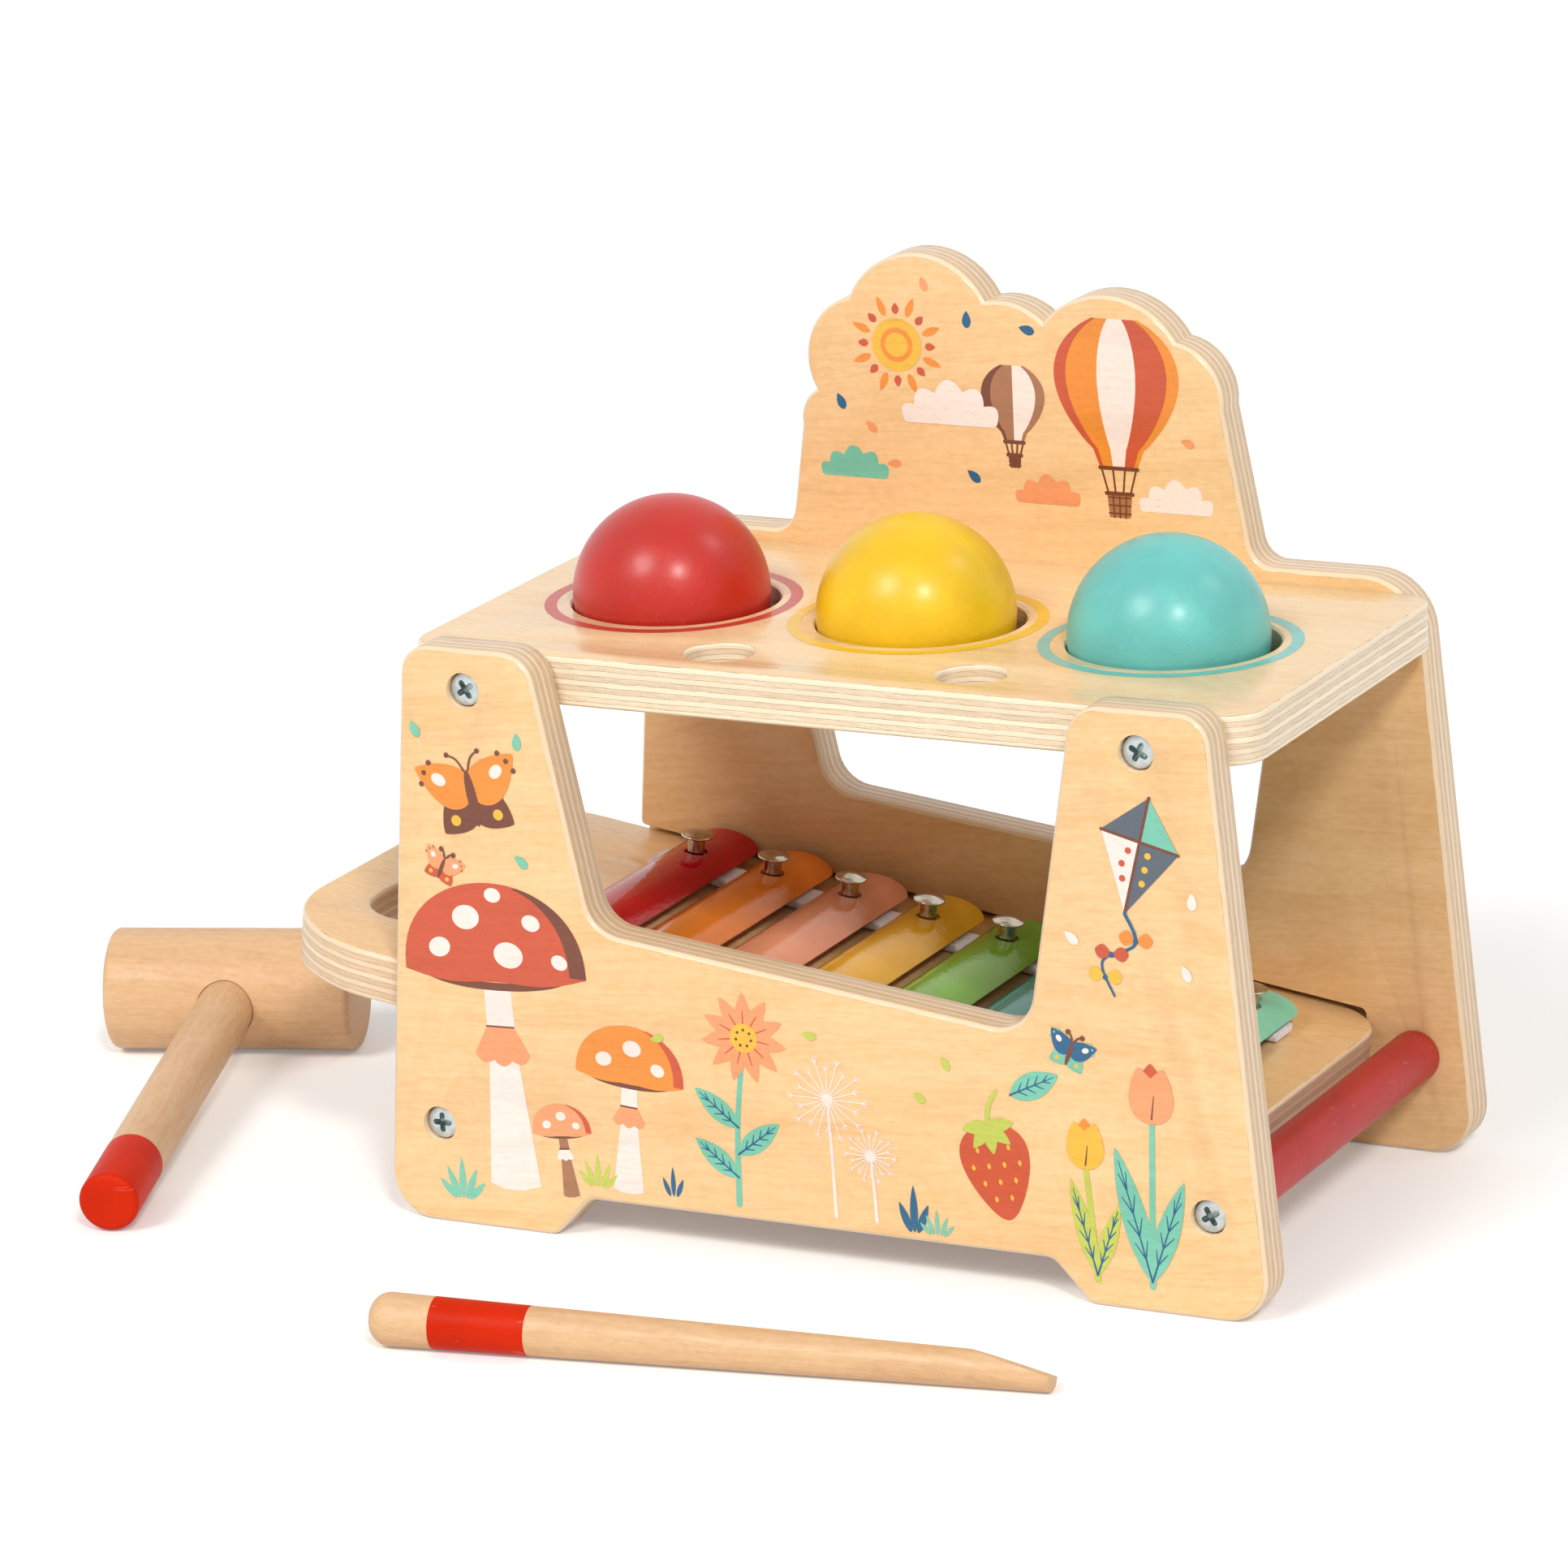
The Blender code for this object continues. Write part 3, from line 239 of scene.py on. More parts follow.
def grain_group():
    """Wood figure that runs along X: broad waves, fine fibres and short pores."""
    tree, given, result = new_group(
        "wood_grain",
        [("Vector", "Vector", (0, 0, 0)), ("Light", "Color", (1, 1, 1, 1)), ("Dark", "Color", (0, 0, 0, 1)),
         ("Figure", "Value", 0.5), ("Pores", "Value", 0.3)],
        [("Color", "Color"), ("Height", "Value"), ("Sheen", "Value")])
    spot = given["Vector"]
    sway = maths(tree, "MULTIPLY", speckle(tree, stretched(tree, spot, (9, 30, 30)), 1.0, 1.0), 0.016)
    shift = place(tree, "ShaderNodeCombineXYZ", {1: sway, 2: sway}).outputs[0]
    bent = place(tree, "ShaderNodeVectorMath", {0: spot, 1: shift}, operation="ADD").outputs[0]
    waves = speckle(tree, stretched(tree, bent, (14, 120, 120)), 1.0, 4.0, 0.62)
    fibres = speckle(tree, stretched(tree, bent, (90, 1300, 1300)), 1.0, 3.0)
    pores = speckle(tree, stretched(tree, spot, (420, 3600, 3600)), 1.0, 1.0)
    patches = speckle(tree, stretched(tree, spot, (18, 30, 30)), 1.0, 2.0, 0.8)
    mottle = speckle(tree, stretched(tree, spot, (420, 640, 640)), 1.0, 3.0)
    figure = maths(tree, "MULTIPLY", ramped(tree, waves, 0.4, 0.66), given["Figure"])
    fine = maths(tree, "MULTIPLY", ramped(tree, fibres, 0.34, 0.7), 0.24)
    soft = maths(tree, "ADD", ramped(tree, patches, 0.3, 0.7, 0.08, 0.15), ramped(tree, mottle, 0.3, 0.7, -0.07, 0.13))
    shade = maths(tree, "ADD", maths(tree, "ADD", figure, fine), soft, clamp=True)
    ticks = maths(tree, "MULTIPLY", ramped(tree, pores, 0.62, 0.72), given["Pores"])
    deep = blended(tree, 1.0, given["Dark"], (0.62, 0.52, 0.44, 1), "MULTIPLY")
    wood = blended(tree, ticks, blended(tree, shade, given["Light"], given["Dark"]), deep)
    height = maths(tree, "SUBTRACT", maths(tree, "MULTIPLY", fine, 0.6), ticks)
    deliver(tree, result, Color=wood, Height=height, Sheen=ramped(tree, fibres, 0.3, 0.7, -0.04, 0.06))
    return tree


def ply_group():
    """The edge of a plywood sheet: long-grain and end-grain layers with thin glue lines between them."""
    tree, given, result = new_group(
        "ply_layers",
        [("Depth", "Value", 0.5), ("Layers", "Value", 9), ("Vector", "Vector", (0, 0, 0)),
         ("Long Grain", "Color", (1, 1, 1, 1)), ("End Grain", "Color", (1, 1, 1, 1)), ("Glue", "Color", (0, 0, 0, 1))],
        [("Color", "Color"), ("Height", "Value"), ("Sheen", "Value")])
    spot = given["Vector"]
    wander = ramped(tree, speckle(tree, spot, 150.0, 2.0), 0.2, 0.8, -0.09, 0.09)
    stack = maths(tree, "ADD", maths(tree, "MULTIPLY", given["Depth"], given["Layers"]), wander)
    number = maths(tree, "FLOOR", stack)
    is_end = maths(tree, "MODULO", number, 2.0)
    tone = place(tree, "ShaderNodeTexWhiteNoise", {"W": number}, noise_dimensions="1D").outputs[0]
    across = maths(tree, "MULTIPLY", stack, 2.6)
    shift = place(tree, "ShaderNodeCombineXYZ", {0: across, 1: across, 2: across}).outputs[0]
    run = place(tree, "ShaderNodeVectorMath", {0: stretched(tree, spot, (260, 260, 260)), 1: shift}, operation="ADD").outputs[0]
    fibres = ramped(tree, speckle(tree, run, 1.0, 4.0), 0.34, 0.7)
    dots = ramped(tree, speckle(tree, spot, 2300.0, 2.0), 0.42, 0.75)
    coarse = maths(tree, "ADD", maths(tree, "MULTIPLY", fibres, 0.32), maths(tree, "MULTIPLY", dots, 0.16))
    end_wood = blended(tree, coarse, given["End Grain"], given["Glue"])
    long_wood = blended(tree, maths(tree, "MULTIPLY", fibres, 0.45), given["Long Grain"], given["End Grain"])
    layer = blended(tree, is_end, long_wood, end_wood)
    layer = blended(tree, maths(tree, "MULTIPLY", tone, 0.16), layer, given["Glue"])
    middle = maths(tree, "ABSOLUTE", maths(tree, "SUBTRACT", maths(tree, "FRACT", stack), 0.5))
    line = maths(tree, "MULTIPLY", ramped(tree, middle, 0.43, 0.49), ramped(tree, speckle(tree, spot, 300.0), 0.3, 0.6, 0.3, 0.85))
    height = maths(tree, "SUBTRACT", maths(tree, "MULTIPLY", is_end, -0.5), line)
    deliver(tree, result, Color=blended(tree, line, layer, given["Glue"]), Height=height,
            Sheen=ramped(tree, is_end, 0.0, 1.0, 0.02, 0.14))
    return tree


def wear_group():
    """Small signs of handling: soft smudges and a few fine scratches."""
    tree, given, result = new_group(
        "handling_wear", [("Vector", "Vector", (0, 0, 0)), ("Amount", "Value", 0.5)],
        [("Smudge", "Value"), ("Scratch", "Value")])
    spot = given["Vector"]
    smudge = ramped(tree, speckle(tree, spot, 55.0, 3.0, 0.4), 0.4, 0.75)
    hair = speckle(tree, stretched(tree, spot, (55, 900, 240)), 1.0, 1.0, 0.8)
    cross = speckle(tree, stretched(tree, spot, (700, 50, 260)), 1.0, 1.0, 0.8)
    lines = maths(tree, "ADD", ramped(tree, hair, 0.735, 0.76), ramped(tree, cross, 0.74, 0.765), clamp=True)
    deliver(tree, result, Smudge=maths(tree, "MULTIPLY", smudge, given["Amount"]),
            Scratch=maths(tree, "MULTIPLY", lines, given["Amount"]))
    return tree


def film_group():
    """A sprayed film of paint: faint mottling and the fine ripple of dried lacquer."""
    tree, given, result = new_group(
        "paint_film", [("Vector", "Vector", (0, 0, 0)), ("Paint", "Color", (1, 1, 1, 1)), ("Ripple", "Value", 1.0)],
        [("Color", "Color"), ("Height", "Value")])
    spot = given["Vector"]
    cloud = ramped(tree, speckle(tree, spot, 70.0, 3.0), 0.3, 0.7)
    dusk = blended(tree, 1.0, given["Paint"], (0.86, 0.83, 0.84, 1), "MULTIPLY")
    ripple = speckle(tree, spot, 620.0, 2.0)
    peel = speckle(tree, spot, 1700.0, 1.0)
    height = maths(tree, "MULTIPLY", maths(tree, "ADD", ripple, maths(tree, "MULTIPLY", peel, 0.5)), given["Ripple"])
    deliver(tree, result, Color=blended(tree, cloud, dusk, given["Paint"]), Height=height)
    return tree


GROUP_MAKERS = {
    "wood_grain": grain_group, "ply_layers": ply_group, "handling_wear": wear_group, "paint_film": film_group}


def effect(tree, name, inputs):
    """Place a shared effect in a material, making its group the first time."""
    group = bpy.data.node_groups.get(name) or GROUP_MAKERS[name]()
    return place(tree, "ShaderNodeGroup", inputs, node_tree=group)


def principled(name, **sockets):
    """A new material: its tree, its shader and the place on the piece, with plain values on the shader's own sockets."""
    material = bpy.data.materials.new(name)
    material.use_nodes = True
    tree = material.node_tree
    shader = tree.nodes["Principled BSDF"]
    for key, value in sockets.items():
        shader.inputs[key.replace("_", " ").title().replace("Ior", "IOR")].default_value = value
    spot = place(tree, "ShaderNodeTexCoord").outputs
    return material, tree, shader, spot


def finish(tree, shader, colour_value, roughness, height, distance):
    """Link a material's varying colour, roughness and relief to its shader."""
    tree.links.new(colour_value, shader.inputs["Base Color"])
    tree.links.new(roughness, shader.inputs["Roughness"])
    bump = place(tree, "ShaderNodeBump", {"Strength": 1.0, "Distance": distance, "Height": height})
    tree.links.new(bump.outputs[0], shader.inputs["Normal"])


def opaque(value):
    """A setting's colour with full alpha."""
    return (*value, 1)


def plywood(name, normal, low, thickness, colours, roughness, turn):
    """Lacquered plywood: figured faces and layered edges, for a sheet that faces along a normal."""
    wood = bpy.context.scene.bench_wood
    light, dark, cream, tan = colours
    material, tree, shader, spot = principled(name, coat_weight=0.3, coat_roughness=0.16, specular_ior_level=0.35)
    lying = place(tree, "ShaderNodeMapping", {"Vector": spot["Object"], "Rotation": turn}).outputs[0]
    face = effect(tree, "wood_grain", {
        "Vector": lying, "Light": opaque(light), "Dark": opaque(dark), "Figure": 0.25, "Pores": 0.13}).outputs
    depth = maths(tree, "DIVIDE", maths(tree, "SUBTRACT", along(tree, spot["Object"], normal), low), thickness)
    edge = effect(tree, "ply_layers", {
        "Depth": depth, "Layers": wood.ply_count, "Vector": spot["Object"], "Long Grain": opaque(cream),
        "End Grain": opaque(tan), "Glue": opaque(wood.ply_glue)}).outputs
    wear = effect(tree, "handling_wear", {"Vector": spot["Object"], "Amount": 0.5}).outputs
    facing = maths(tree, "ABSOLUTE", along(tree, spot["Normal"], normal))
    is_edge = ramped(tree, facing, 0.93, 0.8)
    shade = blended(tree, is_edge, face["Color"], edge["Color"])
    shade = blended(tree, maths(tree, "MULTIPLY", wear["Smudge"], 0.14), shade, opaque(dark))
    sheen = maths(tree, "ADD", blended_value(tree, is_edge, face["Sheen"], edge["Sheen"]), roughness)
    sheen = maths(tree, "ADD", sheen, maths(tree, "MULTIPLY", wear["Smudge"], 0.12))
    height = blended_value(tree, is_edge, face["Height"], edge["Height"])
    finish(tree, shader, shade, sheen, height, 0.00006)
    return material


def blended_value(tree, factor, first, second):
    """Two values mixed by a factor."""
    return place(tree, "ShaderNodeMix", {0: factor, 2: first, 3: second}, data_type="FLOAT").outputs[0]


def beech(name):
    """Lacquered beech that a lathe has turned, with flecks along its axis and rings on its ends."""
    wood = bpy.context.scene.bench_wood
    material, tree, shader, spot = principled(name, coat_weight=0.08, coat_roughness=0.3, specular_ior_level=0.3)
    lying = place(tree, "ShaderNodeMapping", {"Vector": spot["Object"], "Rotation": (0, UPRIGHT, 0)}).outputs[0]
    side = effect(tree, "wood_grain", {
        "Vector": lying, "Light": opaque(wood.beech_light), "Dark": opaque(wood.beech_dark),
        "Figure": 0.3, "Pores": 0.2}).outputs
    offset = place(tree, "ShaderNodeVectorMath", {0: spot["Object"], 1: (0.02, 0.013, 0)}, operation="ADD").outputs[0]
    rings = place(tree, "ShaderNodeTexWave", {"Vector": offset, "Scale": 190.0, "Distortion": 2.4, "Detail": 2.0},
                  wave_type="RINGS", rings_direction="Z").outputs[1]
    dots = ramped(tree, speckle(tree, spot["Object"], 2400.0, 2.0), 0.4, 0.75)
    rays = maths(tree, "ADD", maths(tree, "MULTIPLY", rings, 0.4), maths(tree, "MULTIPLY", dots, 0.45))
    end = blended(tree, rays, opaque(wood.beech_light), opaque(wood.beech_dark))
    flakes = speckle(tree, stretched(tree, spot["Object"], (170, 170, 90)), 1.0, 1.0, 1.4)
    flake = maths(tree, "MULTIPLY", ramped(tree, flakes, 0.72, 0.76), 0.25)
    is_end = ramped(tree, maths(tree, "ABSOLUTE", along(tree, spot["Normal"], (0, 0, 1))), 0.8, 0.95)
    shade = blended(tree, flake, side["Color"], opaque(wood.beech_dark))
    shade = blended(tree, is_end, shade, end)
    wear = effect(tree, "handling_wear", {"Vector": spot["Object"], "Amount": 0.6}).outputs
    shade = blended(tree, maths(tree, "MULTIPLY", wear["Smudge"], 0.16), shade, opaque(wood.beech_dark))
    sheen = maths(tree, "ADD", maths(tree, "ADD", side["Sheen"], 0.42), maths(tree, "MULTIPLY", is_end, 0.12))
    finish(tree, shader, shade, sheen, side["Height"], 0.00007)
    return material


def lacquer(name, paint, roughness, ripple, coat, gloss, use, blur=0.03, tint=(1, 1, 1)):
    """Glossy paint over wood or metal."""
    # A tint other than white colours the reflections themselves; on the bars it is a painted reflection of warm wood.
    material, tree, shader, spot = principled(
        name, coat_weight=coat, coat_roughness=blur, specular_ior_level=gloss, specular_tint=opaque(tint))
    film = effect(tree, "paint_film", {"Vector": spot["Object"], "Paint": opaque(paint), "Ripple": ripple}).outputs
    wear = effect(tree, "handling_wear", {"Vector": spot["Object"], "Amount": use}).outputs
    pale = blended(tree, maths(tree, "MULTIPLY", wear["Scratch"], 0.3), film["Color"], (0.9, 0.88, 0.85, 1))
    sheen = maths(tree, "ADD", maths(tree, "MULTIPLY", wear["Smudge"], 0.12), roughness)
    height = maths(tree, "SUBTRACT", film["Height"], maths(tree, "MULTIPLY", wear["Scratch"], 0.4))
    finish(tree, shader, pale, sheen, height, 0.00005)
    return material


def plated(name, tint, dull, roughness, brush):
    """Plated metal with fine tool marks round its axis and a few dull spots."""
    material, tree, shader, spot = principled(name, metallic=1.0)
    marks = speckle(tree, stretched(tree, spot["Object"], (300, 300, brush)), 1.0, 3.0)
    spots = ramped(tree, speckle(tree, spot["Object"], 420.0, 3.0), 0.35, 0.85, 0.0, 0.8)
    shade = blended(tree, spots, opaque(linear(tint)), opaque(linear(dull)))
    sheen = maths(tree, "ADD", maths(tree, "MULTIPLY", spots, 0.18), ramped(tree, marks, 0.3, 0.7, roughness, roughness + 0.1))
    finish(tree, shader, shade, sheen, maths(tree, "ADD", marks, spots), 0.00002)
    return material


def felted(name, tint):
    """Pressed felt: matted fibres, a soft nap and small shadows between the tufts."""
    material, tree, shader, spot = principled(name, sheen_weight=0.6, sheen_roughness=0.5, specular_ior_level=0.2)
    fibre = speckle(tree, spot["Object"], 1500.0, 4.0, 1.8)
    tuft = speckle(tree, spot["Object"], 360.0, 3.0, 0.6)
    dark = blended(tree, 1.0, opaque(tint), (0.74, 0.73, 0.77, 1), "MULTIPLY")
    mass = maths(tree, "ADD", maths(tree, "MULTIPLY", fibre, 0.6), maths(tree, "MULTIPLY", tuft, 0.4))
    shade = blended(tree, ramped(tree, mass, 0.34, 0.62), dark, opaque(tint))
    finish(tree, shader, shade, ramped(tree, fibre, 0.3, 0.7, 0.86, 1.0), mass, 0.00012)
    return material


def rubber(name):
    """Dark moulded rubber with a matt bloom."""
    material, tree, shader, spot = principled(name, specular_ior_level=0.35)
    bloom = ramped(tree, speckle(tree, spot["Object"], 240.0, 4.0), 0.35, 0.75)
    grit = speckle(tree, spot["Object"], 2600.0, 2.0)
    shade = blended(tree, bloom, opaque(linear(0x24221F)), opaque(linear(0x45413C)))
    finish(tree, shader, shade, ramped(tree, bloom, 0.0, 1.0, 0.55, 0.8), grit, 0.00004)
    return material


def printed(name, ink):
    """Ink on lacquered birch, through which the grain shows a little."""
    wood = bpy.context.scene.bench_wood
    material, tree, shader, spot = principled(name, coat_weight=0.35, coat_roughness=0.16)
    grain = effect(tree, "wood_grain", {
        "Vector": spot["Object"], "Light": opaque(ink), "Dark": opaque([c * 0.8 for c in ink]),
        "Figure": 0.35, "Pores": 0.25}).outputs
    screen = ramped(tree, speckle(tree, spot["Object"], 2100.0, 1.0), 0.55, 0.8, 0.0, 0.04)
    shade = blended(tree, screen, grain["Color"], opaque(wood.birch_light))
    finish(tree, shader, shade, maths(tree, "ADD", grain["Sheen"], 0.36), grain["Height"], 0.00004)
    return material


# Shapes

def as_object(name, work, materials, matrix=None):
    """An object from a bmesh, smooth except at its sharp edges."""
    mesh = bpy.data.meshes.new(name)
    bmesh.ops.recalc_face_normals(work, faces=work.faces)
    work.to_mesh(mesh)
    work.free()
    mesh.shade_smooth()
    mesh.set_sharp_from_angle(angle=SMOOTH_ANGLE)
    for material in materials:
        mesh.materials.append(material)
    item = bpy.data.objects.new(name, mesh)
    bpy.context.scene.collection.objects.link(item)
    if matrix:
        item.matrix_world = matrix
    return item


def turned(work, profile, sides, material_index=None):
    """Add a turned form from its profile of radii and heights, listed along Z."""
    rings = []
    for radius, height in profile:
        count = sides if radius else 1
        angles = [2 * math.pi * i / sides for i in range(count)]
        rings.append([work.verts.new((radius * math.cos(a), radius * math.sin(a), height)) for a in angles])
    for step, (upper, lower) in enumerate(zip(rings, rings[1:])):
        for i in range(sides):
            corners = [upper[i % len(upper)], upper[(i + 1) % len(upper)],
                       lower[(i + 1) % len(lower)], lower[i % len(lower)]]
            face = work.faces.new(list(dict.fromkeys(corners)))
            if material_index:
                face.material_index = material_index(step)
    return work


def arc(centre, radius, start, end, steps):
    """Points on an arc between two angles in degrees."""
    angles = [math.radians(start + (end - start) * i / steps) for i in range(steps + 1)]
    return [(centre[0] + radius * math.cos(a), centre[1] + radius * math.sin(a)) for a in angles]


def middle_of(node):
    """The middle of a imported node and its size."""
    low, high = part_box(node)
    return (low + high) / 2, high - low


def tray_box(node):
    """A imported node's lowest and highest corner in the tray's own slanted frame."""
    inverse = TRAY_FRAME.inverted()
    points = [inverse @ vertex.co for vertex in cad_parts[node].data.vertices]
    return [Vector([pick(p[i] for p in points) for i in range(3)]) for pick in (min, max)]


def cut(item, tool):
    """Cut one object out of another and apply the result."""
    boolean = item.modifiers.new("Cut", "BOOLEAN")
    boolean.solver = "EXACT"
    boolean.object = tool
    apply_modifiers(item)
    bpy.data.objects.remove(tool)


def apply_modifiers(item):
    """Replace an object's mesh by its evaluated one."""
    graph = bpy.context.evaluated_depsgraph_get()
    graph.update()
    mesh = bpy.data.meshes.new_from_object(item.evaluated_get(graph), depsgraph=graph)
    item.modifiers.clear()
    mesh.shade_smooth()
    mesh.set_sharp_from_angle(angle=SMOOTH_ANGLE)
    item.data = mesh


def smooth_tree():
    """Geometry nodes that shade a form smooth."""
    tree = bpy.data.node_groups.get("smooth_shading")
    if tree is None:
        tree = bpy.data.node_groups.new("smooth_shading", "GeometryNodeTree")
        tree.interface.new_socket("Geometry", in_out="INPUT", socket_type="NodeSocketGeometry")
        tree.interface.new_socket("Geometry", in_out="OUTPUT", socket_type="NodeSocketGeometry")
        form = place(tree, "GeometryNodeSetShadeSmooth", {0: tree.nodes.new("NodeGroupInput").outputs[0]})
        place(tree, "NodeGroupOutput", {0: form.outputs[0]})
    return tree


def sanded(node, width):
    """Round the arrises of a packed sheet, by modifiers alone."""
    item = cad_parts[node]
    item.modifiers.new("Join", "WELD").merge_threshold = 0.00002
    item.modifiers.new("Smooth", "NODES").node_group = smooth_tree()
    flat = item.modifiers.new("Flatten", "DECIMATE")
    flat.decimate_type = "DISSOLVE"
    flat.angle_limit = math.radians(0.6)
    bevel = item.modifiers.new("Sand", "BEVEL")
    bevel.width = width
    bevel.segments = 2
    bevel.limit_method = "ANGLE"
    bevel.angle_limit = math.radians(25)
    bevel.harden_normals = True
    return item


def dress(node, material):
    """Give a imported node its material."""
    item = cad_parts[node]
    item.data.materials.clear()
    item.data.materials.append(material)
    return item


# Printed pictures, drawn in millimetres on the panel's plane

def moved(points, x, y, turn=0.0, size=1.0):
    """An outline turned by degrees, scaled and moved."""
    c, s = math.cos(math.radians(turn)) * size, math.sin(math.radians(turn)) * size
    return [(x + px * c - py * s, y + px * s + py * c) for px, py in points]


def oval(x, y, width, height, turn=0.0):
    """An ellipse's outline."""
    return moved([(width / 2 * math.cos(a), height / 2 * math.sin(a))
                  for a in (2 * math.pi * i / 44 for i in range(44))], x, y, turn)


def petal(x, y, reach, width, turn=0.0, blunt=1.0):
    """A leaf or petal that starts at a point and reaches upward before it is turned."""
    shares = [i / 20 for i in range(21)]
    half = [(width / 2 * math.sin(math.pi * t ** blunt) ** 0.8 if 0 < t < 1 else 0, reach * t) for t in shares]
    return moved(half + [(-w, h) for w, h in reversed(half[1:-1])], x, y, turn)


def flowing(points, steps=9):
    """A smooth line through points."""
    padded = [points[0], *points, points[-1]]
    line = []
    for a, b, c, d in zip(padded, padded[1:], padded[2:], padded[3:]):
        for i in range(steps):
            t = i / steps
            line.append(tuple(
                (2 * q + (r - p) * t + (2 * p - 5 * q + 4 * r - s) * t ** 2 + (3 * q - p - 3 * r + s) * t ** 3) / 2
                for p, q, r, s in zip(a, b, c, d)))
    return line + [tuple(points[-1])]


def stroke(points, width, end_width=None):
    """A brush line of a width, or tapered to an end width, with round ends."""
    line = [Vector(p) for p in flowing(points)]
    end_width = width if end_width is None else end_width
    left, right = [], []
    for i, point in enumerate(line):
        along_line = (line[min(i + 1, len(line) - 1)] - line[max(i - 1, 0)]).normalized()
        side = Vector((-along_line.y, along_line.x))
        half = (width + (end_width - width) * i / (len(line) - 1)) / 2
        left.append(point + side * half)
        right.append(point - side * half)
    first = math.degrees(math.atan2(*(left[0] - line[0]).yx))
    last = math.degrees(math.atan2(*(right[-1] - line[-1]).yx))
    start_cap = arc(line[0], width / 2, first, first + 180, 8)
    end_cap = arc(line[-1], end_width / 2, last, last + 180, 8) if end_width else []
    return [tuple(p) for p in reversed(left)] + start_cap[1:-1] + [tuple(p) for p in right] + end_cap[1:-1]


def lobed(corners, swells):
    """A closed outline through corners, its sides swelling outward by shares of their length."""
    outline = []
    for start, end, swell in zip(corners, corners[1:] + corners[:1], swells):
        a, b = Vector(start), Vector(end)
        out = Vector((b.y - a.y, a.x - b.x)) * swell
        outline += [tuple(a + (b - a) * t + out * 4 * t * (1 - t)) for t in (i / 10 for i in range(10))]
    return outline


def toadstool(x, y, height, cap, caps, stem, dots, lean=0.0):
    """A toadstool with a spotted cap, a gilled underside and a skirt."""
    top = height - cap * 0.36
    shapes = [
        (1, stem, [(-cap * 0.13, 0), (-cap * 0.08, top * 0.55), (-cap * 0.07, top), (cap * 0.07, top),
                   (cap * 0.09, top * 0.55), (cap * 0.15, 0), (cap * 0.05, -cap * 0.03), (-cap * 0.06, -cap * 0.03)]),
        (2, "umber", oval(0, top, cap * 0.8, cap * 0.17)),
        (3, "salmon", oval(0, top + cap * 0.015, cap * 0.72, cap * 0.12)),
    ]
    for i in range(-3, 4):
        shapes.append((4, "umber", stroke([(i * cap * 0.035, top - cap * 0.02), (i * cap * 0.1, top + cap * 0.05)], 0.35)))
    dome = [(cap / 2 * math.cos(a), cap * 0.46 * math.sin(a) ** 0.85) for a in (math.pi * i / 30 for i in range(31))]
    rim = [(-cap / 2 + cap * t, -cap * 0.09 * math.sin(math.pi * t) + cap * 0.05 * math.sin(math.pi * t) ** 4)
           for t in (i / 12 for i in range(1, 12))]
    shapes.append((5, caps[0], moved(dome + rim, 0, top)))
    shade = [(cap * 0.5 * math.cos(a), cap * 0.46 * math.sin(a) ** 0.85) for a in (math.pi * i / 60 for i in range(25))]
    shade += [(cap * 0.41 * math.cos(a), cap * 0.45 * math.sin(a) ** 0.9 + cap * 0.006)
              for a in (math.pi * i / 60 for i in range(24, -1, -1))]
    shapes.append((6, caps[1], moved(shade, 0, top)))
    for u, v, size in dots:
        shapes.append((7, "cream", oval(u * cap, top + v * cap, size * cap, size * cap * 0.82, -u * 60)))
    corners = [(-0.15, 0.62), (-0.05, 0.59), (0.05, 0.59), (0.15, 0.62), (0.075, 0.75), (-0.075, 0.75)]
    skirt = lobed([(u * cap, v * top) for u, v in corners], (0.3, 0.3, 0.3, 0, 0, 0))
    shapes.append((3, "cream" if stem != "cream" else "salmon", skirt))
    shapes.append((4, "umber", stroke([(-0.075 * cap, 0.75 * top), (0.075 * cap, 0.75 * top)], 0.4)))
    return [(layer, ink, moved(points, x, y, lean)) for layer, ink, points in shapes]


def tuft(x, y, blades, height, ink):
    """A tuft of grass."""
    return [(1, ink, petal(x + (i - blades / 2) * 0.8, y, height * (1 - abs(i - (blades - 1) / 2) / blades), height * 0.17,
                           (blades / 2 - 0.5 - i) * 22, 0.8)) for i in range(blades)]


def leaf(x, y, reach, width, turn, ink, vein):
    """A leaf with its midrib and side veins."""
    shapes = [(2, ink, petal(0, 0, reach, width, 0, 0.85)), (3, vein, stroke([(0, 0), (0, reach * 0.9)], 0.5, 0.2))]
    for i in range(1, 5):
        start = reach * i * 0.17
        for side in (-1, 1):
            tip = (side * width * 0.3 * math.sin(math.pi * (0.15 + 0.17 * i)), start + reach * 0.13)
            shapes.append((3, vein, stroke([(0, start), tip], 0.4, 0.2)))
    return [(layer, name, moved(points, x, y, turn)) for layer, name, points in shapes]


def bloom(x, y, height, head, inks, sway=0.0):
    """A daisy-like flower on a leafy stem."""
    petals, centre, stem = inks
    top = (x + sway, y + height)
    shapes = [(1, stem, stroke([(x, y), (x + sway * 0.2, y + height * 0.5), top], 1.5, 1.1))]
    for share, side in ((0.16, -1), (0.3, 1), (0.46, -1)):
        shapes += leaf(x + sway * share * 0.5, y + height * share, height * 0.34, height * 0.13, -side * 52, stem, "navy")
    for i in range(11):
        shapes.append((4, petals, petal(*top, head / 2, head * 0.2, i * 360 / 11, 0.72)))
        shapes.append((5, "brick", stroke([moved([(0, head * 0.16)], *top, i * 360 / 11)[0],
                                           moved([(0, head * 0.3)], *top, i * 360 / 11)[0]], 0.4, 0.2)))
    shapes.append((6, centre, oval(*top, head * 0.32, head * 0.32)))
    for i in range(7):
        shapes.append((7, "umber", oval(*moved([(0, head * 0.09)], *top, i * 360 / 7)[0], 0.7, 0.7)))
    return shapes


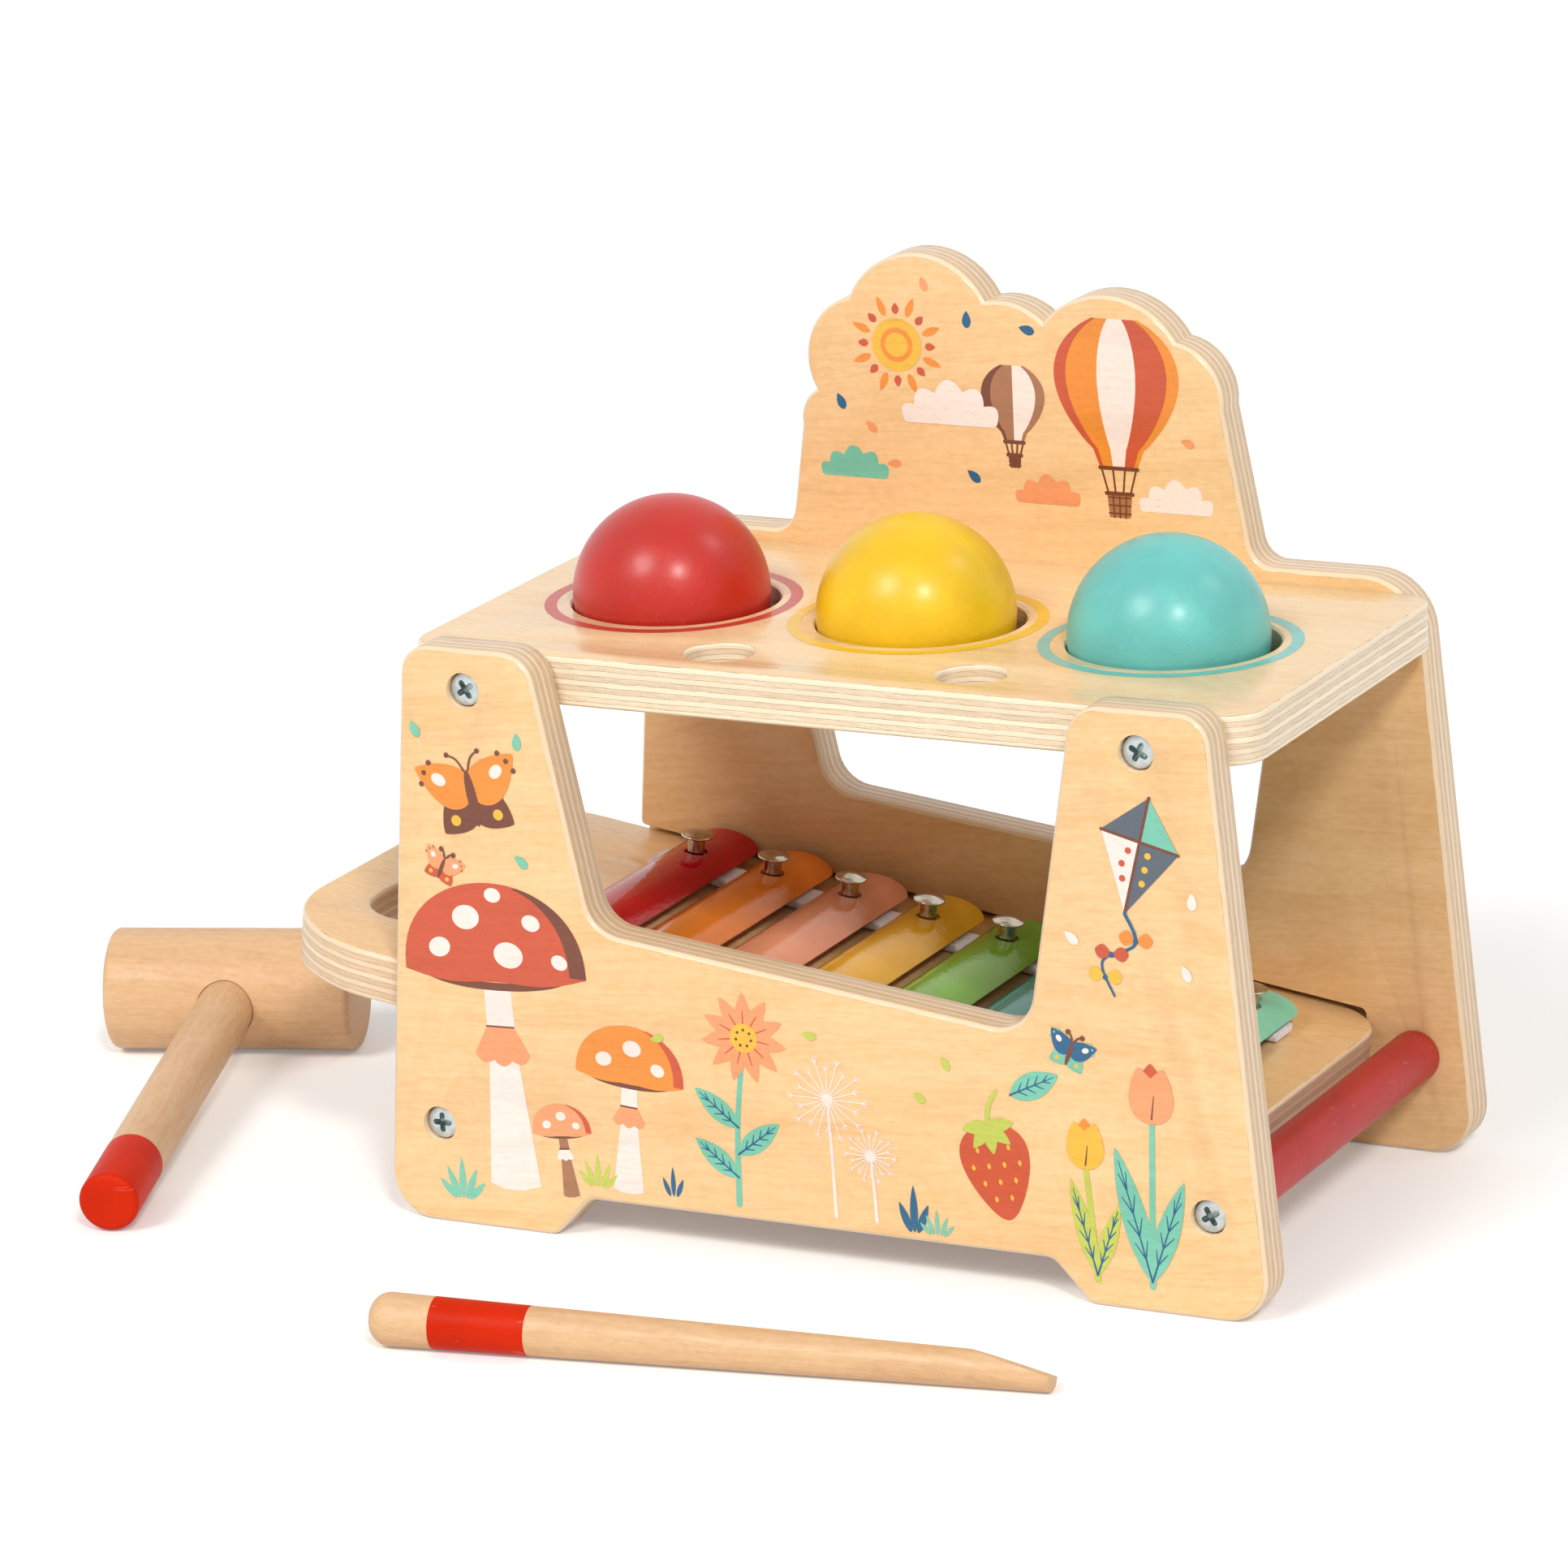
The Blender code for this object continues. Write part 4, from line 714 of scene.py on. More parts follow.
def puff(x, y, height, radius, ink):
    """A dandelion clock."""
    top = (x, y + height)
    shapes = [(1, ink, stroke([(x + 1, y), (x + 0.6, y + height / 2), top], 0.9, 0.6)), (2, ink, oval(*top, 2.6, 2.6))]
    for i in range(20):
        reach = radius * (1 if i % 2 else 0.78)
        tip = moved([(0, reach)], *top, i * 18)[0]
        shapes.append((2, ink, stroke([top, tip], 0.3, 0.3)))
        for fork in (-34, 0, 34):
            shapes.append((3, ink, stroke([tip, moved([(0, radius * 0.17)], *tip, i * 18 + fork)[0]], 0.35, 0.2)))
    return shapes


def tulip(x, y, height, head, inks, sway=0.0):
    """A tulip with two long leaves."""
    cup, inner, leaves = inks
    top = (x + sway, y + height - head)
    shapes = [(1, leaves, stroke([(x, y), (x + sway * 0.6, y + height * 0.45), top], 1.5, 1.2))]
    shapes += leaf(x, y + 1, height * 0.62, height * 0.12, 15, leaves, "navy")
    shapes += leaf(x, y + 1, height * 0.5, height * 0.11, -19, leaves, "navy")
    shapes.append((4, inner, petal(*top, head * 1.06, head * 0.62, 0, 0.8)))
    for side in (-1, 1):
        half = moved([(side * px, py) for px, py in petal(0, 0, head, head * 0.62, -13, 0.75)], *top)
        shapes.append((5 if side < 0 else 6, cup, half))
    shapes.append((7, "umber", stroke([(top[0], top[1] + head * 0.1), (top[0] + head * 0.05, top[1] + head * 0.5)], 0.45, 0.2)))
    return shapes


def strawberry(x, y, size, turn):
    """A strawberry with seeds, a leafy cap and a stalk."""
    body = []
    for i in range(48):
        a = 2 * math.pi * i / 48
        body.append((size * 0.5 * math.sin(a) * (1 - 0.2 * math.cos(a) * -1) * (0.82 + 0.18 * math.cos(a)),
                     size * 0.58 * math.cos(a)))
    shapes = [(2, "brick", body)]
    for row, count in enumerate((3, 4, 3, 2)):
        for i in range(count):
            u = (i - (count - 1) / 2) * size * 0.2
            shapes.append((3, "yellow", petal(u, size * (0.24 - row * 0.2), size * 0.075, size * 0.045)))
    for i in range(5):
        shapes.append((4, "moss", petal(0, size * 0.55, size * 0.34, size * 0.17, 90 + i * 45, 0.7)))
    shapes.append((3, "moss", stroke([(0, size * 0.5), (size * 0.05, size * 0.75), (size * 0.2, size * 0.95)], 1.3, 0.9)))
    return [(layer, ink, moved(points, x, y, turn)) for layer, ink, points in shapes]


def kite(x, y, size, turn):
    """A kite in four cloths with bows on its tail."""
    top, right, foot, left = (0, size * 0.5), (size * 0.34, size * 0.12), (0, -size * 0.5), (-size * 0.34, size * 0.12)
    hub = (0, size * 0.12)
    shapes = [(1, "slate", [top, hub, left]), (1, "teal", [top, right, hub]),
              (1, "cream", [left, hub, foot]), (1, "slate", [hub, right, foot]),
              (2, "umber", stroke([top, foot], 0.7)), (2, "umber", stroke([left, right], 0.7))]
    for i in range(3):
        shapes.append((3, "brick", oval(-size * (0.08 + 0.03 * (i % 2)), size * (0.02 - 0.12 * i), 1.5, 1.5)))
        shapes.append((3, "yellow", oval(size * 0.09, size * (0.03 - 0.12 * i), 1.5, 1.5)))
    tail = [(0, -size * 0.5), (size * 0.14, -size * 0.72), (-size * 0.1, -size * 0.95), (size * 0.06, -size * 1.2)]
    shapes.append((2, "navy", stroke(tail, 0.8, 0.5)))
    line = flowing(tail)
    for share, ink in ((0.3, "orange"), (0.56, "brick"), (0.8, "yellow")):
        bow = line[int(share * len(line))]
        for side in (-1, 1):
            shapes.append((4, ink, petal(*bow, size * 0.15, size * 0.12, side * 80 + 10, 1.3)))
        shapes.append((5, "navy", oval(*bow, 1.3, 1.3)))
    return [(layer, ink, moved(points, x, y, turn)) for layer, ink, points in shapes]


def butterfly(x, y, size, turn, inks):
    """A butterfly with spotted wings."""
    upper, lower = inks
    shapes = []
    for side in (-1, 1):
        shapes.append((1, lower, petal(0, 0, size * 0.46, size * 0.36, side * 128, 0.72)))
        shapes.append((2, upper, petal(0, 0, size * 0.62, size * 0.4, side * 56, 0.66)))
        shapes.append((3, "cream", oval(side * size * 0.3, size * 0.21, size * 0.15, size * 0.11, side * 35)))
        shapes.append((3, "yellow", oval(side * size * 0.22, -size * 0.18, size * 0.1, size * 0.1)))
        for i in range(3):
            spot = moved([(0, size * 0.52)], 0, 0, side * (44 + 12 * i))[0]
            shapes.append((3, lower, oval(*spot, size * 0.05, size * 0.05)))
        feeler = [(0, size * 0.2), (side * size * 0.07, size * 0.36), (side * size * 0.16, size * 0.42)]
        shapes.append((1, "umber", stroke(feeler, 0.5, 0.4)))
        shapes.append((1, "umber", oval(*feeler[-1], 1.2, 1.2)))
    shapes.append((4, "umber", oval(0, 0, size * 0.1, size * 0.52)))
    return [(layer, ink, moved(points, x, y, turn)) for layer, ink, points in shapes]


def balloon(x, y, width, inks, basket):
    """A hot-air balloon with striped gores, ropes and a woven basket."""
    height = width * 1.12
    shares = [i / 24 for i in range(25)]

    def half_width(t):
        return width / 2 * math.sin(math.pi * min(1, (0.04 + 0.96 * t) ** 0.78)) ** 0.72 if t < 0.86 else width * 0.155 * (1.35 - 0.4 * (t - 0.86) / 0.14)

    shapes = []
    gores = len(inks)
    for i, ink in enumerate(inks):
        west = math.sin(math.pi * (i / gores - 0.5))
        east = math.sin(math.pi * ((i + 1) / gores - 0.5))
        edge = [(west * half_width(t), height * (0.5 - t)) for t in shares]
        shapes.append((1, ink, edge + [(east * half_width(t), height * (0.5 - t)) for t in reversed(shares)]))
    low = -height / 2
    shapes.append((2, "umber", stroke([(-width * 0.15, low), (width * 0.15, low)], 0.9)))
    for side in (-1, -0.35, 0.35, 1):
        shapes.append((1, "umber", stroke([(side * width * 0.14, low), (side * width * 0.085, low - width * 0.2)], 0.45)))
    w, top, foot = width * 0.1, low - width * 0.19, low - width * 0.37
    shapes.append((2, basket, [(-w, top), (-w * 0.82, foot), (w * 0.82, foot), (w, top)]))
    for i in range(3):
        level = top + (foot - top) * (i + 0.5) / 3
        shapes.append((3, "umber", stroke([(-w * 0.86, level), (w * 0.86, level)], 0.4)))
    for i in range(-1, 2):
        shapes.append((3, "umber", stroke([(i * w * 0.55, top), (i * w * 0.45, foot)], 0.4)))
    shapes.append((4, "umber", stroke([(-w * 1.05, top), (w * 1.05, top)], 0.9)))
    return [(layer, ink, moved(points, x, y)) for layer, ink, points in shapes]


def cloud(x, y, width, ink, layer=1):
    """A cloud with a flat foot."""
    corners = [(-0.5, 0.05), (-0.44, 0), (0.44, 0), (0.5, 0.06), (0.36, 0.2), (0.14, 0.33), (-0.16, 0.3), (-0.38, 0.18)]
    outline = lobed(corners, (0.2, 0, 0.2, 0.42, 0.42, 0.42, 0.42, 0.42))
    return [(layer, ink, moved(outline, x, y, 0, width))]


def sun(x, y, size):
    """A sun with long and short rays."""
    shapes = [(3, "yellow", oval(x, y, size * 0.52, size * 0.52)), (4, "orange", oval(x, y, size * 0.34, size * 0.34)),
              (5, "yellow", oval(x, y, size * 0.24, size * 0.24))]
    for i in range(16):
        reach = size * (0.5 if i % 2 else 0.41)
        start = moved([(0, size * 0.3)], x, y, i * 22.5)[0]
        shapes.append((2, "orange" if i % 2 else "brick", petal(*start, reach - size * 0.3, size * 0.075, i * 22.5, 0.8)))
    return shapes


def scattered(points, size, ink, turn=0.0):
    """Small drops here and there."""
    return [(1, ink, petal(x, y, size, size * 0.55, turn + 25 * i, 0.75)) for i, (x, y) in enumerate(points)]


def front_picture():
    """The meadow on the front panel."""
    spots = ((-0.3, 0.12, 0.12), (-0.14, 0.28, 0.15), (0.08, 0.1, 0.16), (0.22, 0.27, 0.1), (0.36, 0.08, 0.09), (0.02, 0.4, 0.09))
    few = ((-0.24, 0.14, 0.15), (0.02, 0.27, 0.17), (0.26, 0.12, 0.13))
    shapes = toadstool(-76, 11, 66, 46, ("brick", "umber"), "cream", spots, 2)
    shapes += toadstool(-47, 13, 36, 27, ("orange", "brick"), "cream", few, -4)
    shapes += toadstool(-61.5, 10, 20, 15, ("salmon", "brick"), "brown", few, 6)
    shapes += tuft(-89, 6, 5, 10, "teal") + tuft(-54, 12.8, 5, 8, "moss") + tuft(-35, 12.8, 3, 7, "navy")
    shapes += bloom(-19, 13, 39, 21, ("salmon", "yellow", "teal"), 3)
    shapes += puff(4, 13, 27, 8.5, "cream") + puff(14, 13, 15, 5.5, "cream")
    shapes += tuft(24.5, 11.5, 3, 11, "navy") + tuft(30, 11.5, 5, 6, "teal")
    shapes += strawberry(45, 28, 19, 12) + leaf(48.5, 46, 13, 6, -64, "teal", "navy")
    shapes += tulip(68, 6, 36, 11, ("yellow", "orange", "moss"), -2)
    shapes += tulip(81, 6, 50, 13, ("salmon", "brick", "teal"), 1)
    shapes += kite(80.5, 103, 27, -14)
    shapes += butterfly(-81, 101, 25, 12, ("orange", "umber"))
    shapes += butterfly(63, 57, 11, -20, ("navy", "teal")) + butterfly(-90, 84, 10, -24, ("salmon", "brick"))
    shapes += scattered([(-69, 113), (-94, 114), (-68, 86)], 4, "teal") + scattered([(93, 92), (92, 76), (66, 82)], 4, "cream")
    shapes += scattered([(34, 50), (28, 42), (2, 54), (-36, 50)], 3.4, "moss", 30)
    return shapes


def back_picture():
    """The sky on the crown."""
    shapes = sun(-30, 181, 24) + cloud(-17, 163, 24, "cream", 5) + cloud(-42, 149, 17, "teal")
    shapes += balloon(25, 173, 31, ("brick", "orange", "cream", "brick", "orange"), "brown")
    shapes += balloon(-1, 169, 16, ("umber", "brown", "cream", "brown"), "umber")
    shapes += cloud(39, 146, 18, "cream") + cloud(7, 146, 16, "salmon")
    shapes += scattered([(-12, 186), (-44, 165), (-10, 150), (5, 186)], 4, "navy")
    shapes += scattered([(-22, 194), (-36, 160), (44, 162), (-30, 153)], 3.6, "salmon", 20)
    return shapes


INK_BASE = 0.04
INK_STEP = 0.012
INK_LIFT = 0.0003


def print_on(name, shapes, matrix):
    """Lay a picture's inks on a face, one piece for each ink, later layers on top."""
    inks = bpy.context.scene.bench_print
    for ink in dict.fromkeys(shape[1] for shape in shapes):
        work = bmesh.new()
        for order, (layer, used, outline) in enumerate(shapes):
            if used == ink:
                height = INK_BASE + INK_STEP * layer + INK_LIFT * order
                face = work.faces.new([work.verts.new((x * MM, y * MM, height * MM)) for x, y in outline])
                face.normal_update()
        bmesh.ops.triangulate(work, faces=work.faces)
        for face in work.faces:
            face.normal_update()
            if face.normal.z < 0:
                face.normal_flip()
        mesh = bpy.data.meshes.new(f"{name}_{ink}")
        work.to_mesh(mesh)
        work.free()
        material = bpy.data.materials.get(f"ink_{ink}") or printed(f"ink_{ink}", getattr(inks, ink))
        mesh.materials.append(material)
        item = bpy.data.objects.new(f"{name}_{ink}", mesh)
        bpy.context.scene.collection.objects.link(item)
        item.matrix_world = matrix
        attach(item, "bench")


# Operators

class BenchPanels(bpy.types.Operator):
    """Dress the two side panels in lacquered plywood"""
    bl_idname = "bench.panels"
    bl_label = "Side Panels"

    def execute(self, context):
        """Build and place the pieces."""
        wood = context.scene.bench_wood
        colours = (wood.birch_light, wood.birch_dark, wood.ply_cream, wood.ply_tan)
        for node in ("front_panel", "back_panel"):
            low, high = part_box(node)
            material = plywood(f"birch_{node}", (0, 1, 0), low.y, high.y - low.y, colours, 0.36,
                               (0, math.radians(4), 0))
            sanded(dress(node, material).name, wood.edge_round)
        return {"FINISHED"}


class BenchBoard(bpy.types.Operator):
    """Dress the top board and lay the printed rings round its ball holes"""
    bl_idname = "bench.board"
    bl_label = "Top Board"

    def execute(self, context):
        """Build and place the pieces."""
        wood, paint, inks = context.scene.bench_wood, context.scene.bench_paint, context.scene.bench_print
        thickness = BOARD_HIGH.z - BOARD_LOW.z
        colours = (wood.board_light, wood.board_dark, wood.board_cream, wood.board_tan)
        material = plywood("birch_top_board", (0, 0, 1), BOARD_LOW.z, thickness, colours, 0.24,
                           (0, 0, math.radians(2)))
        sanded(dress("top_board", material).name, wood.edge_round)
        for ball in BALLS:
            place_at = middle_of(f"ball_{ball}")[0]
            work = bmesh.new()
            turned(work, [(inks.ring_inner, 0), (inks.ring_outer, 0)], 128)
            strong = getattr(paint, f"ball_{ball}")
            ink = [0.97 * c + 0.03 * w for c, w in zip(strong, wood.board_light)]
            spot = (place_at.x + 0.4 * MM, place_at.y, BOARD_HIGH.z + INK_BASE * MM)
            ring = as_object(f"printed_ring_{ball}", work, [printed(f"ring_ink_{ball}", ink)], Matrix.Translation(spot))
            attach(ring, "bench")
        return {"FINISHED"}


class BenchBalls(bpy.types.Operator):
    """Stand turned and lacquered balls in the place of the plain ones"""
    bl_idname = "bench.balls"
    bl_label = "Balls"

    def execute(self, context):
        """Build and place the pieces."""
        for ball in BALLS:
            node = f"ball_{ball}"
            centre, size = middle_of(node)
            radius = size.z / 2
            flat = 4.0
            profile = [(0, radius * math.cos(math.radians(flat)))]
            profile += [(radius * math.sin(math.radians(a)), radius * math.cos(math.radians(a)))
                        for a in (flat + (180 - 2 * flat) * i / 56 for i in range(57))]
            profile.append((0, -profile[0][1]))
            work = turned(bmesh.new(), profile, 112)
            material = lacquer(f"ball_{ball}_lacquer", getattr(context.scene.bench_paint, node), 0.42, 2.2, 0.44, 0.24, 0.06, 0.26)
            item = as_object(f"turned_ball_{ball}", work, [material], Matrix.Translation(centre) @ Matrix.Rotation(math.radians(62), 4, "X"))
            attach(item, node)
            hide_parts(node)
        return {"FINISHED"}


class BenchRings(bpy.types.Operator):
    """Dress the rubber rings under the board"""
    bl_idname = "bench.rings"
    bl_label = "Rubber Rings"

    def execute(self, context):
        """Build and place the pieces."""
        material = rubber("ring_rubber_dark")
        for number in range(1, 4):
            item = dress(f"ball_ring_{number}", material)
            item.modifiers.new("Join", "WELD").merge_threshold = 0.00002
            bevel = item.modifiers.new("Soften", "BEVEL")
            bevel.width = 0.5 * MM
            bevel.segments = 3
            bevel.limit_method = "ANGLE"
        return {"FINISHED"}


class BenchDowels(bpy.types.Operator):
    """Stand painted dowels with softened ends in the place of the plain ones"""
    bl_idname = "bench.dowels"
    bl_label = "Dowels"

    def execute(self, context):
        """Build and place the pieces."""
        material = lacquer("dowel_paint_red", context.scene.bench_paint.dowel, 0.46, 2.2, 0.04, 0.3, 0.2)
        for side in ("left", "right"):
            centre, size = middle_of(f"dowel_{side}")
            radius, half, edge = size.z / 2, size.y / 2, 0.5 * MM
            profile = [(0, half), *arc((radius - edge, half - edge), edge, 90, 0, 5)]
            for i in range(1, 24):
                height = half - edge - (size.y - 2 * edge) * i / 24
                profile.append((radius - 0.04 * MM * (1 + noise.noise((0, 0, height * 60))) / 2, height))
            profile += [*arc((radius - edge, edge - half), edge, 0, -90, 5), (0, -half)]
            work = turned(bmesh.new(), profile, 72)
            item = as_object(f"painted_dowel_{side}", work, [material], Matrix.Translation(centre) @ Matrix.Rotation(UPRIGHT, 4, "X"))
            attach(item, "bench")
            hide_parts(f"dowel_{side}")
        return {"FINISHED"}


class BenchScrews(bpy.types.Operator):
    """Stand detailed cross-head screws in the place of the plain ones"""
    bl_idname = "bench.screws"
    bl_label = "Screws"

    def execute(self, context):
        """Build and place the pieces."""
        plate = plated("screw_zinc_plate", 0xCDD5D6, 0xA0A9AA, 0.42, 9000)
        # The recess faces get a darker copy of the zinc plate: painted shade inside the cross recess.
        master = self.make_screw([plate, plated("screw_recess_painted_shade", 0xA9B7B5, 0x74837F, 0.3, 9000)])
        for side, turn in (("front", UPRIGHT), ("back", -UPRIGHT)):
            for number, corner in enumerate(("top_left", "top_right", "low_left", "low_right")):
                node = f"screw_{side}_{corner}"
                low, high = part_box(node)
                centre = (low + high) / 2
                centre.y = low.y if side == "front" else high.y
                item = bpy.data.objects.new(f"zinc_{node}", master)
                context.scene.collection.objects.link(item)
                spin = Matrix.Rotation(math.radians(33 + 29 * number), 4, "Z")
                item.matrix_world = Matrix.Translation(centre) @ Matrix.Rotation(turn, 4, "X") @ spin
                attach(item, "bench")
                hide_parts(node)
        return {"FINISHED"}

    def make_screw(self, materials):
        """One screw's mesh: a softly domed head with a tapered cross recess, and its shank."""
        radius, shank, total = 3.8 * MM, 1.8 * MM, 24 * MM
        dome = [(radius * 0.82 * math.sin(a), -0.16 * MM * (1 - math.cos(a)) ) for a in (UPRIGHT * i / 5 for i in range(6))]
        rim = arc((radius - 0.5 * MM, -0.66 * MM), 0.5 * MM, 70, 0, 5)
        profile = [*dome, *rim, (radius, -1.1 * MM), (shank, -2.2 * MM), (shank, shank - total), (0, -total)]
        item = as_object("screw_blank", turned(bmesh.new(), profile, 48), materials)
        for turn in (0, UPRIGHT):
            work = bmesh.new()
            top, foot = (2.6 * MM, 0.72 * MM, 0.5 * MM), (1.6 * MM, 0.5 * MM, -1.8 * MM)
            rings = []
            for reach, half, z in (top, foot):
                slot = arc((reach - half, 0), half, -90, 90, 6) + arc((half - reach, 0), half, 90, 270, 6)
                rings.append([work.verts.new((x, y, z)) for x, y in slot])
            work.faces.new(rings[0])
            work.faces.new(rings[1])
            for i in range(14):
                work.faces.new([rings[0][i], rings[0][(i + 1) % 14], rings[1][(i + 1) % 14], rings[1][i]])
            # Painted shade: every recess face takes the darker plate.
            for face in work.faces:
                face.material_index = 1
            cut(item, as_object("recess", work, materials, Matrix.Rotation(turn, 4, "Z")))
        mesh = item.data
        bpy.data.objects.remove(item)
        return mesh


class BenchTray(bpy.types.Operator):
    """Dress the sliding tray in lacquered plywood"""
    bl_idname = "bench.tray"
    bl_label = "Tray"

    def execute(self, context):
        """Build and place the pieces."""
        wood = context.scene.bench_wood
        low, high = tray_box("tray")
        base = TRAY_NORMAL.dot(TRAY_FRAME.translation) + low.z
        colours = (wood.birch_light, wood.birch_dark, wood.ply_cream, wood.ply_tan)
        material = plywood("birch_tray", TRAY_NORMAL, base, high.z - low.z, colours, 0.34,
                           (0, TRAY_TILT, math.radians(-2)))
        sanded(dress("tray", material).name, wood.edge_round)
        return {"FINISHED"}


class BenchFelts(bpy.types.Operator):
    """Lay two strips of pressed felt under the bars"""
    bl_idname = "bench.felts"
    bl_label = "Felt Strips"

    def execute(self, context):
        """Build and place the pieces."""
        material = felted("felt_grey", context.scene.bench_paint.felt)
        first, last = tray_box("pin_1_back"), tray_box("pin_8_back")
        start = Vector(((first[0].x + first[1].x) / 2, (first[0].y + first[1].y) / 2))
        end = Vector(((last[0].x + last[1].x) / 2, (last[0].y + last[1].y) / 2))
        slope = (end.y - start.y) / (end.x - start.x)
        for side, sign in (("front", -1), ("back", 1)):
            low, high = tray_box(f"felt_{side}")
            work = self.make_strip(low, high, start, slope, sign)
            item = as_object(f"pressed_felt_{side}", work, [material], TRAY_FRAME)
            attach(item, "tray")
            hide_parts(f"felt_{side}")
        return {"FINISHED"}

    def make_strip(self, low, high, start, slope, sign):
        """A strip with soft corners and an uneven nap."""
        work = bmesh.new()
        half, outward, rise = 5.1 * MM, 1.8 * MM, high.z - low.z
        soft = 0.7 * MM
        section = []
        for cx, cz, a in ((half - soft, rise - soft, 0), (soft - half, rise - soft, 90), (soft - half, soft, 180), (half - soft, soft, 270)):
            section += arc((cx, cz), soft, a, a + 90, 3)
            if a in (0, 180):
                way = -1 if a == 0 else 1
                section += [(cx + way * (2 * cx if a == 0 else -2 * cx) * i / 8, cz + (soft if a == 0 else -soft)) for i in range(1, 8)]
        rings = []
        steps = 150
        for i in range(steps + 1):
            x = low.x + (high.x - low.x) * i / steps
            middle = sign * (start.y + outward + slope * (x - start.x))
            shrink = 1 - 0.06 * (i in (0, steps))
            ring = []
            for u, v in section:
                spot = Vector((x, middle + u * shrink, low.z + rise / 2 + (v - rise / 2) * shrink))
                nap = noise.noise(spot * 900) * 0.1 * MM + noise.noise(spot * 260) * 0.12 * MM
                away = Vector((0, u, (v - rise / 2) * 2)).normalized()
                ring.append(work.verts.new(spot + away * nap))
            rings.append(ring)
        count = len(section)
        for near, far in zip(rings, rings[1:]):
            for i in range(count):
                work.faces.new([near[i], near[(i + 1) % count], far[(i + 1) % count], far[i]])
        work.faces.new(rings[0])
        work.faces.new(rings[-1])
        return work


class BenchBars(bpy.types.Operator):
    """Lay the eight arched and enamelled bars"""
    bl_idname = "bench.bars"
    bl_label = "Sounding Bars"

    def execute(self, context):
        """Build and place the pieces."""
        for number, name in enumerate(BARS, 1):
            node = f"bar_{number}_{name}"
            low, high = tray_box(node)
            pin = tray_box(f"pin_{number}_back")
            offset = (pin[0].y + pin[1].y) / 2
            # The warm specular tint (1, 0.7, 0.42) is a painted reflection: it warms the enamel's reflections as if
            # they showed the wood round the bars.
            material = lacquer(f"enamel_{name}", getattr(context.scene.bench_paint, f"bar_{name}"), 0.08, 1.4, 0.02, 0.36, 0.15,
                               0.03, (1, 0.7, 0.42))
            item = self.make_bar(f"arched_{node}", low, high, offset, material)
            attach(item, node)
            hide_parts(node)
        return {"FINISHED"}

    def make_bar(self, name, low, high, offset, material):
        """One arched bar with round corners and two drilled holes."""
        half_x, half_y = (high.x - low.x) / 2, (high.y - low.y) / 2
        rise, sheet, corner, hole = 3 * MM, 1 * MM, 3 * MM, 2.8 * MM
        outline = []
        for sx, sy, start in ((1, 1, 0), (-1, 1, 90), (-1, -1, 180), (1, -1, 270)):
            outline += arc((sx * (half_x - corner), sy * (half_y - corner)), corner, start, start + 90, 8)
        holes = [arc((0, side * offset), hole, 360, 0, 32)[:-1] for side in (-1, 1)]
        work = flat_sheet([outline, *holes])
        for i in range(1, 36):
            x = half_x * (2 * i / 36 - 1)
            bmesh.ops.bisect_plane(work, geom=[*work.verts, *work.edges, *work.faces], plane_co=(x, 0, 0), plane_no=(1, 0, 0))
        for vertex in work.verts:
            vertex.co.z = -rise * abs(vertex.co.x / half_x) ** 2.2
        top = TRAY_FRAME @ Matrix.Translation(((low.x + high.x) / 2, 0, high.z))
        item = as_object(name, work, [material], top)
        if item.data.polygons[0].normal.z < 0:
            item.data.flip_normals()
        thick = item.modifiers.new("Sheet", "SOLIDIFY")
        thick.thickness = sheet
        thick.offset = -1
        bevel = item.modifiers.new("Deburred", "BEVEL")
        bevel.width = 0.2 * MM
        bevel.segments = 2
        bevel.limit_method = "ANGLE"
        bevel.angle_limit = math.radians(50)
        apply_modifiers(item)
        item.data.materials.clear()
        item.data.materials.append(material)
        return item


def flat_sheet(outlines):
    """A flat filled sheet from its outline and its holes, as a bmesh."""
    curve = bpy.data.curves.new("sheet", "CURVE")
    curve.dimensions = "2D"
    curve.fill_mode = "BOTH"
    for outline in outlines:
        spline = curve.splines.new("POLY")
        spline.points.add(len(outline) - 1)
        spline.use_cyclic_u = True
        for point, (x, y) in zip(spline.points, outline):
            point.co = (x, y, 0, 1)
    source = bpy.data.objects.new("sheet", curve)
    bpy.context.scene.collection.objects.link(source)
    graph = bpy.context.evaluated_depsgraph_get()
    mesh = bpy.data.meshes.new_from_object(source.evaluated_get(graph), depsgraph=graph)
    work = bmesh.new()
    work.from_mesh(mesh)
    bmesh.ops.remove_doubles(work, verts=work.verts, dist=0.000001)
    bpy.data.objects.remove(source)
    bpy.data.curves.remove(curve)
    bpy.data.meshes.remove(mesh)
    return work


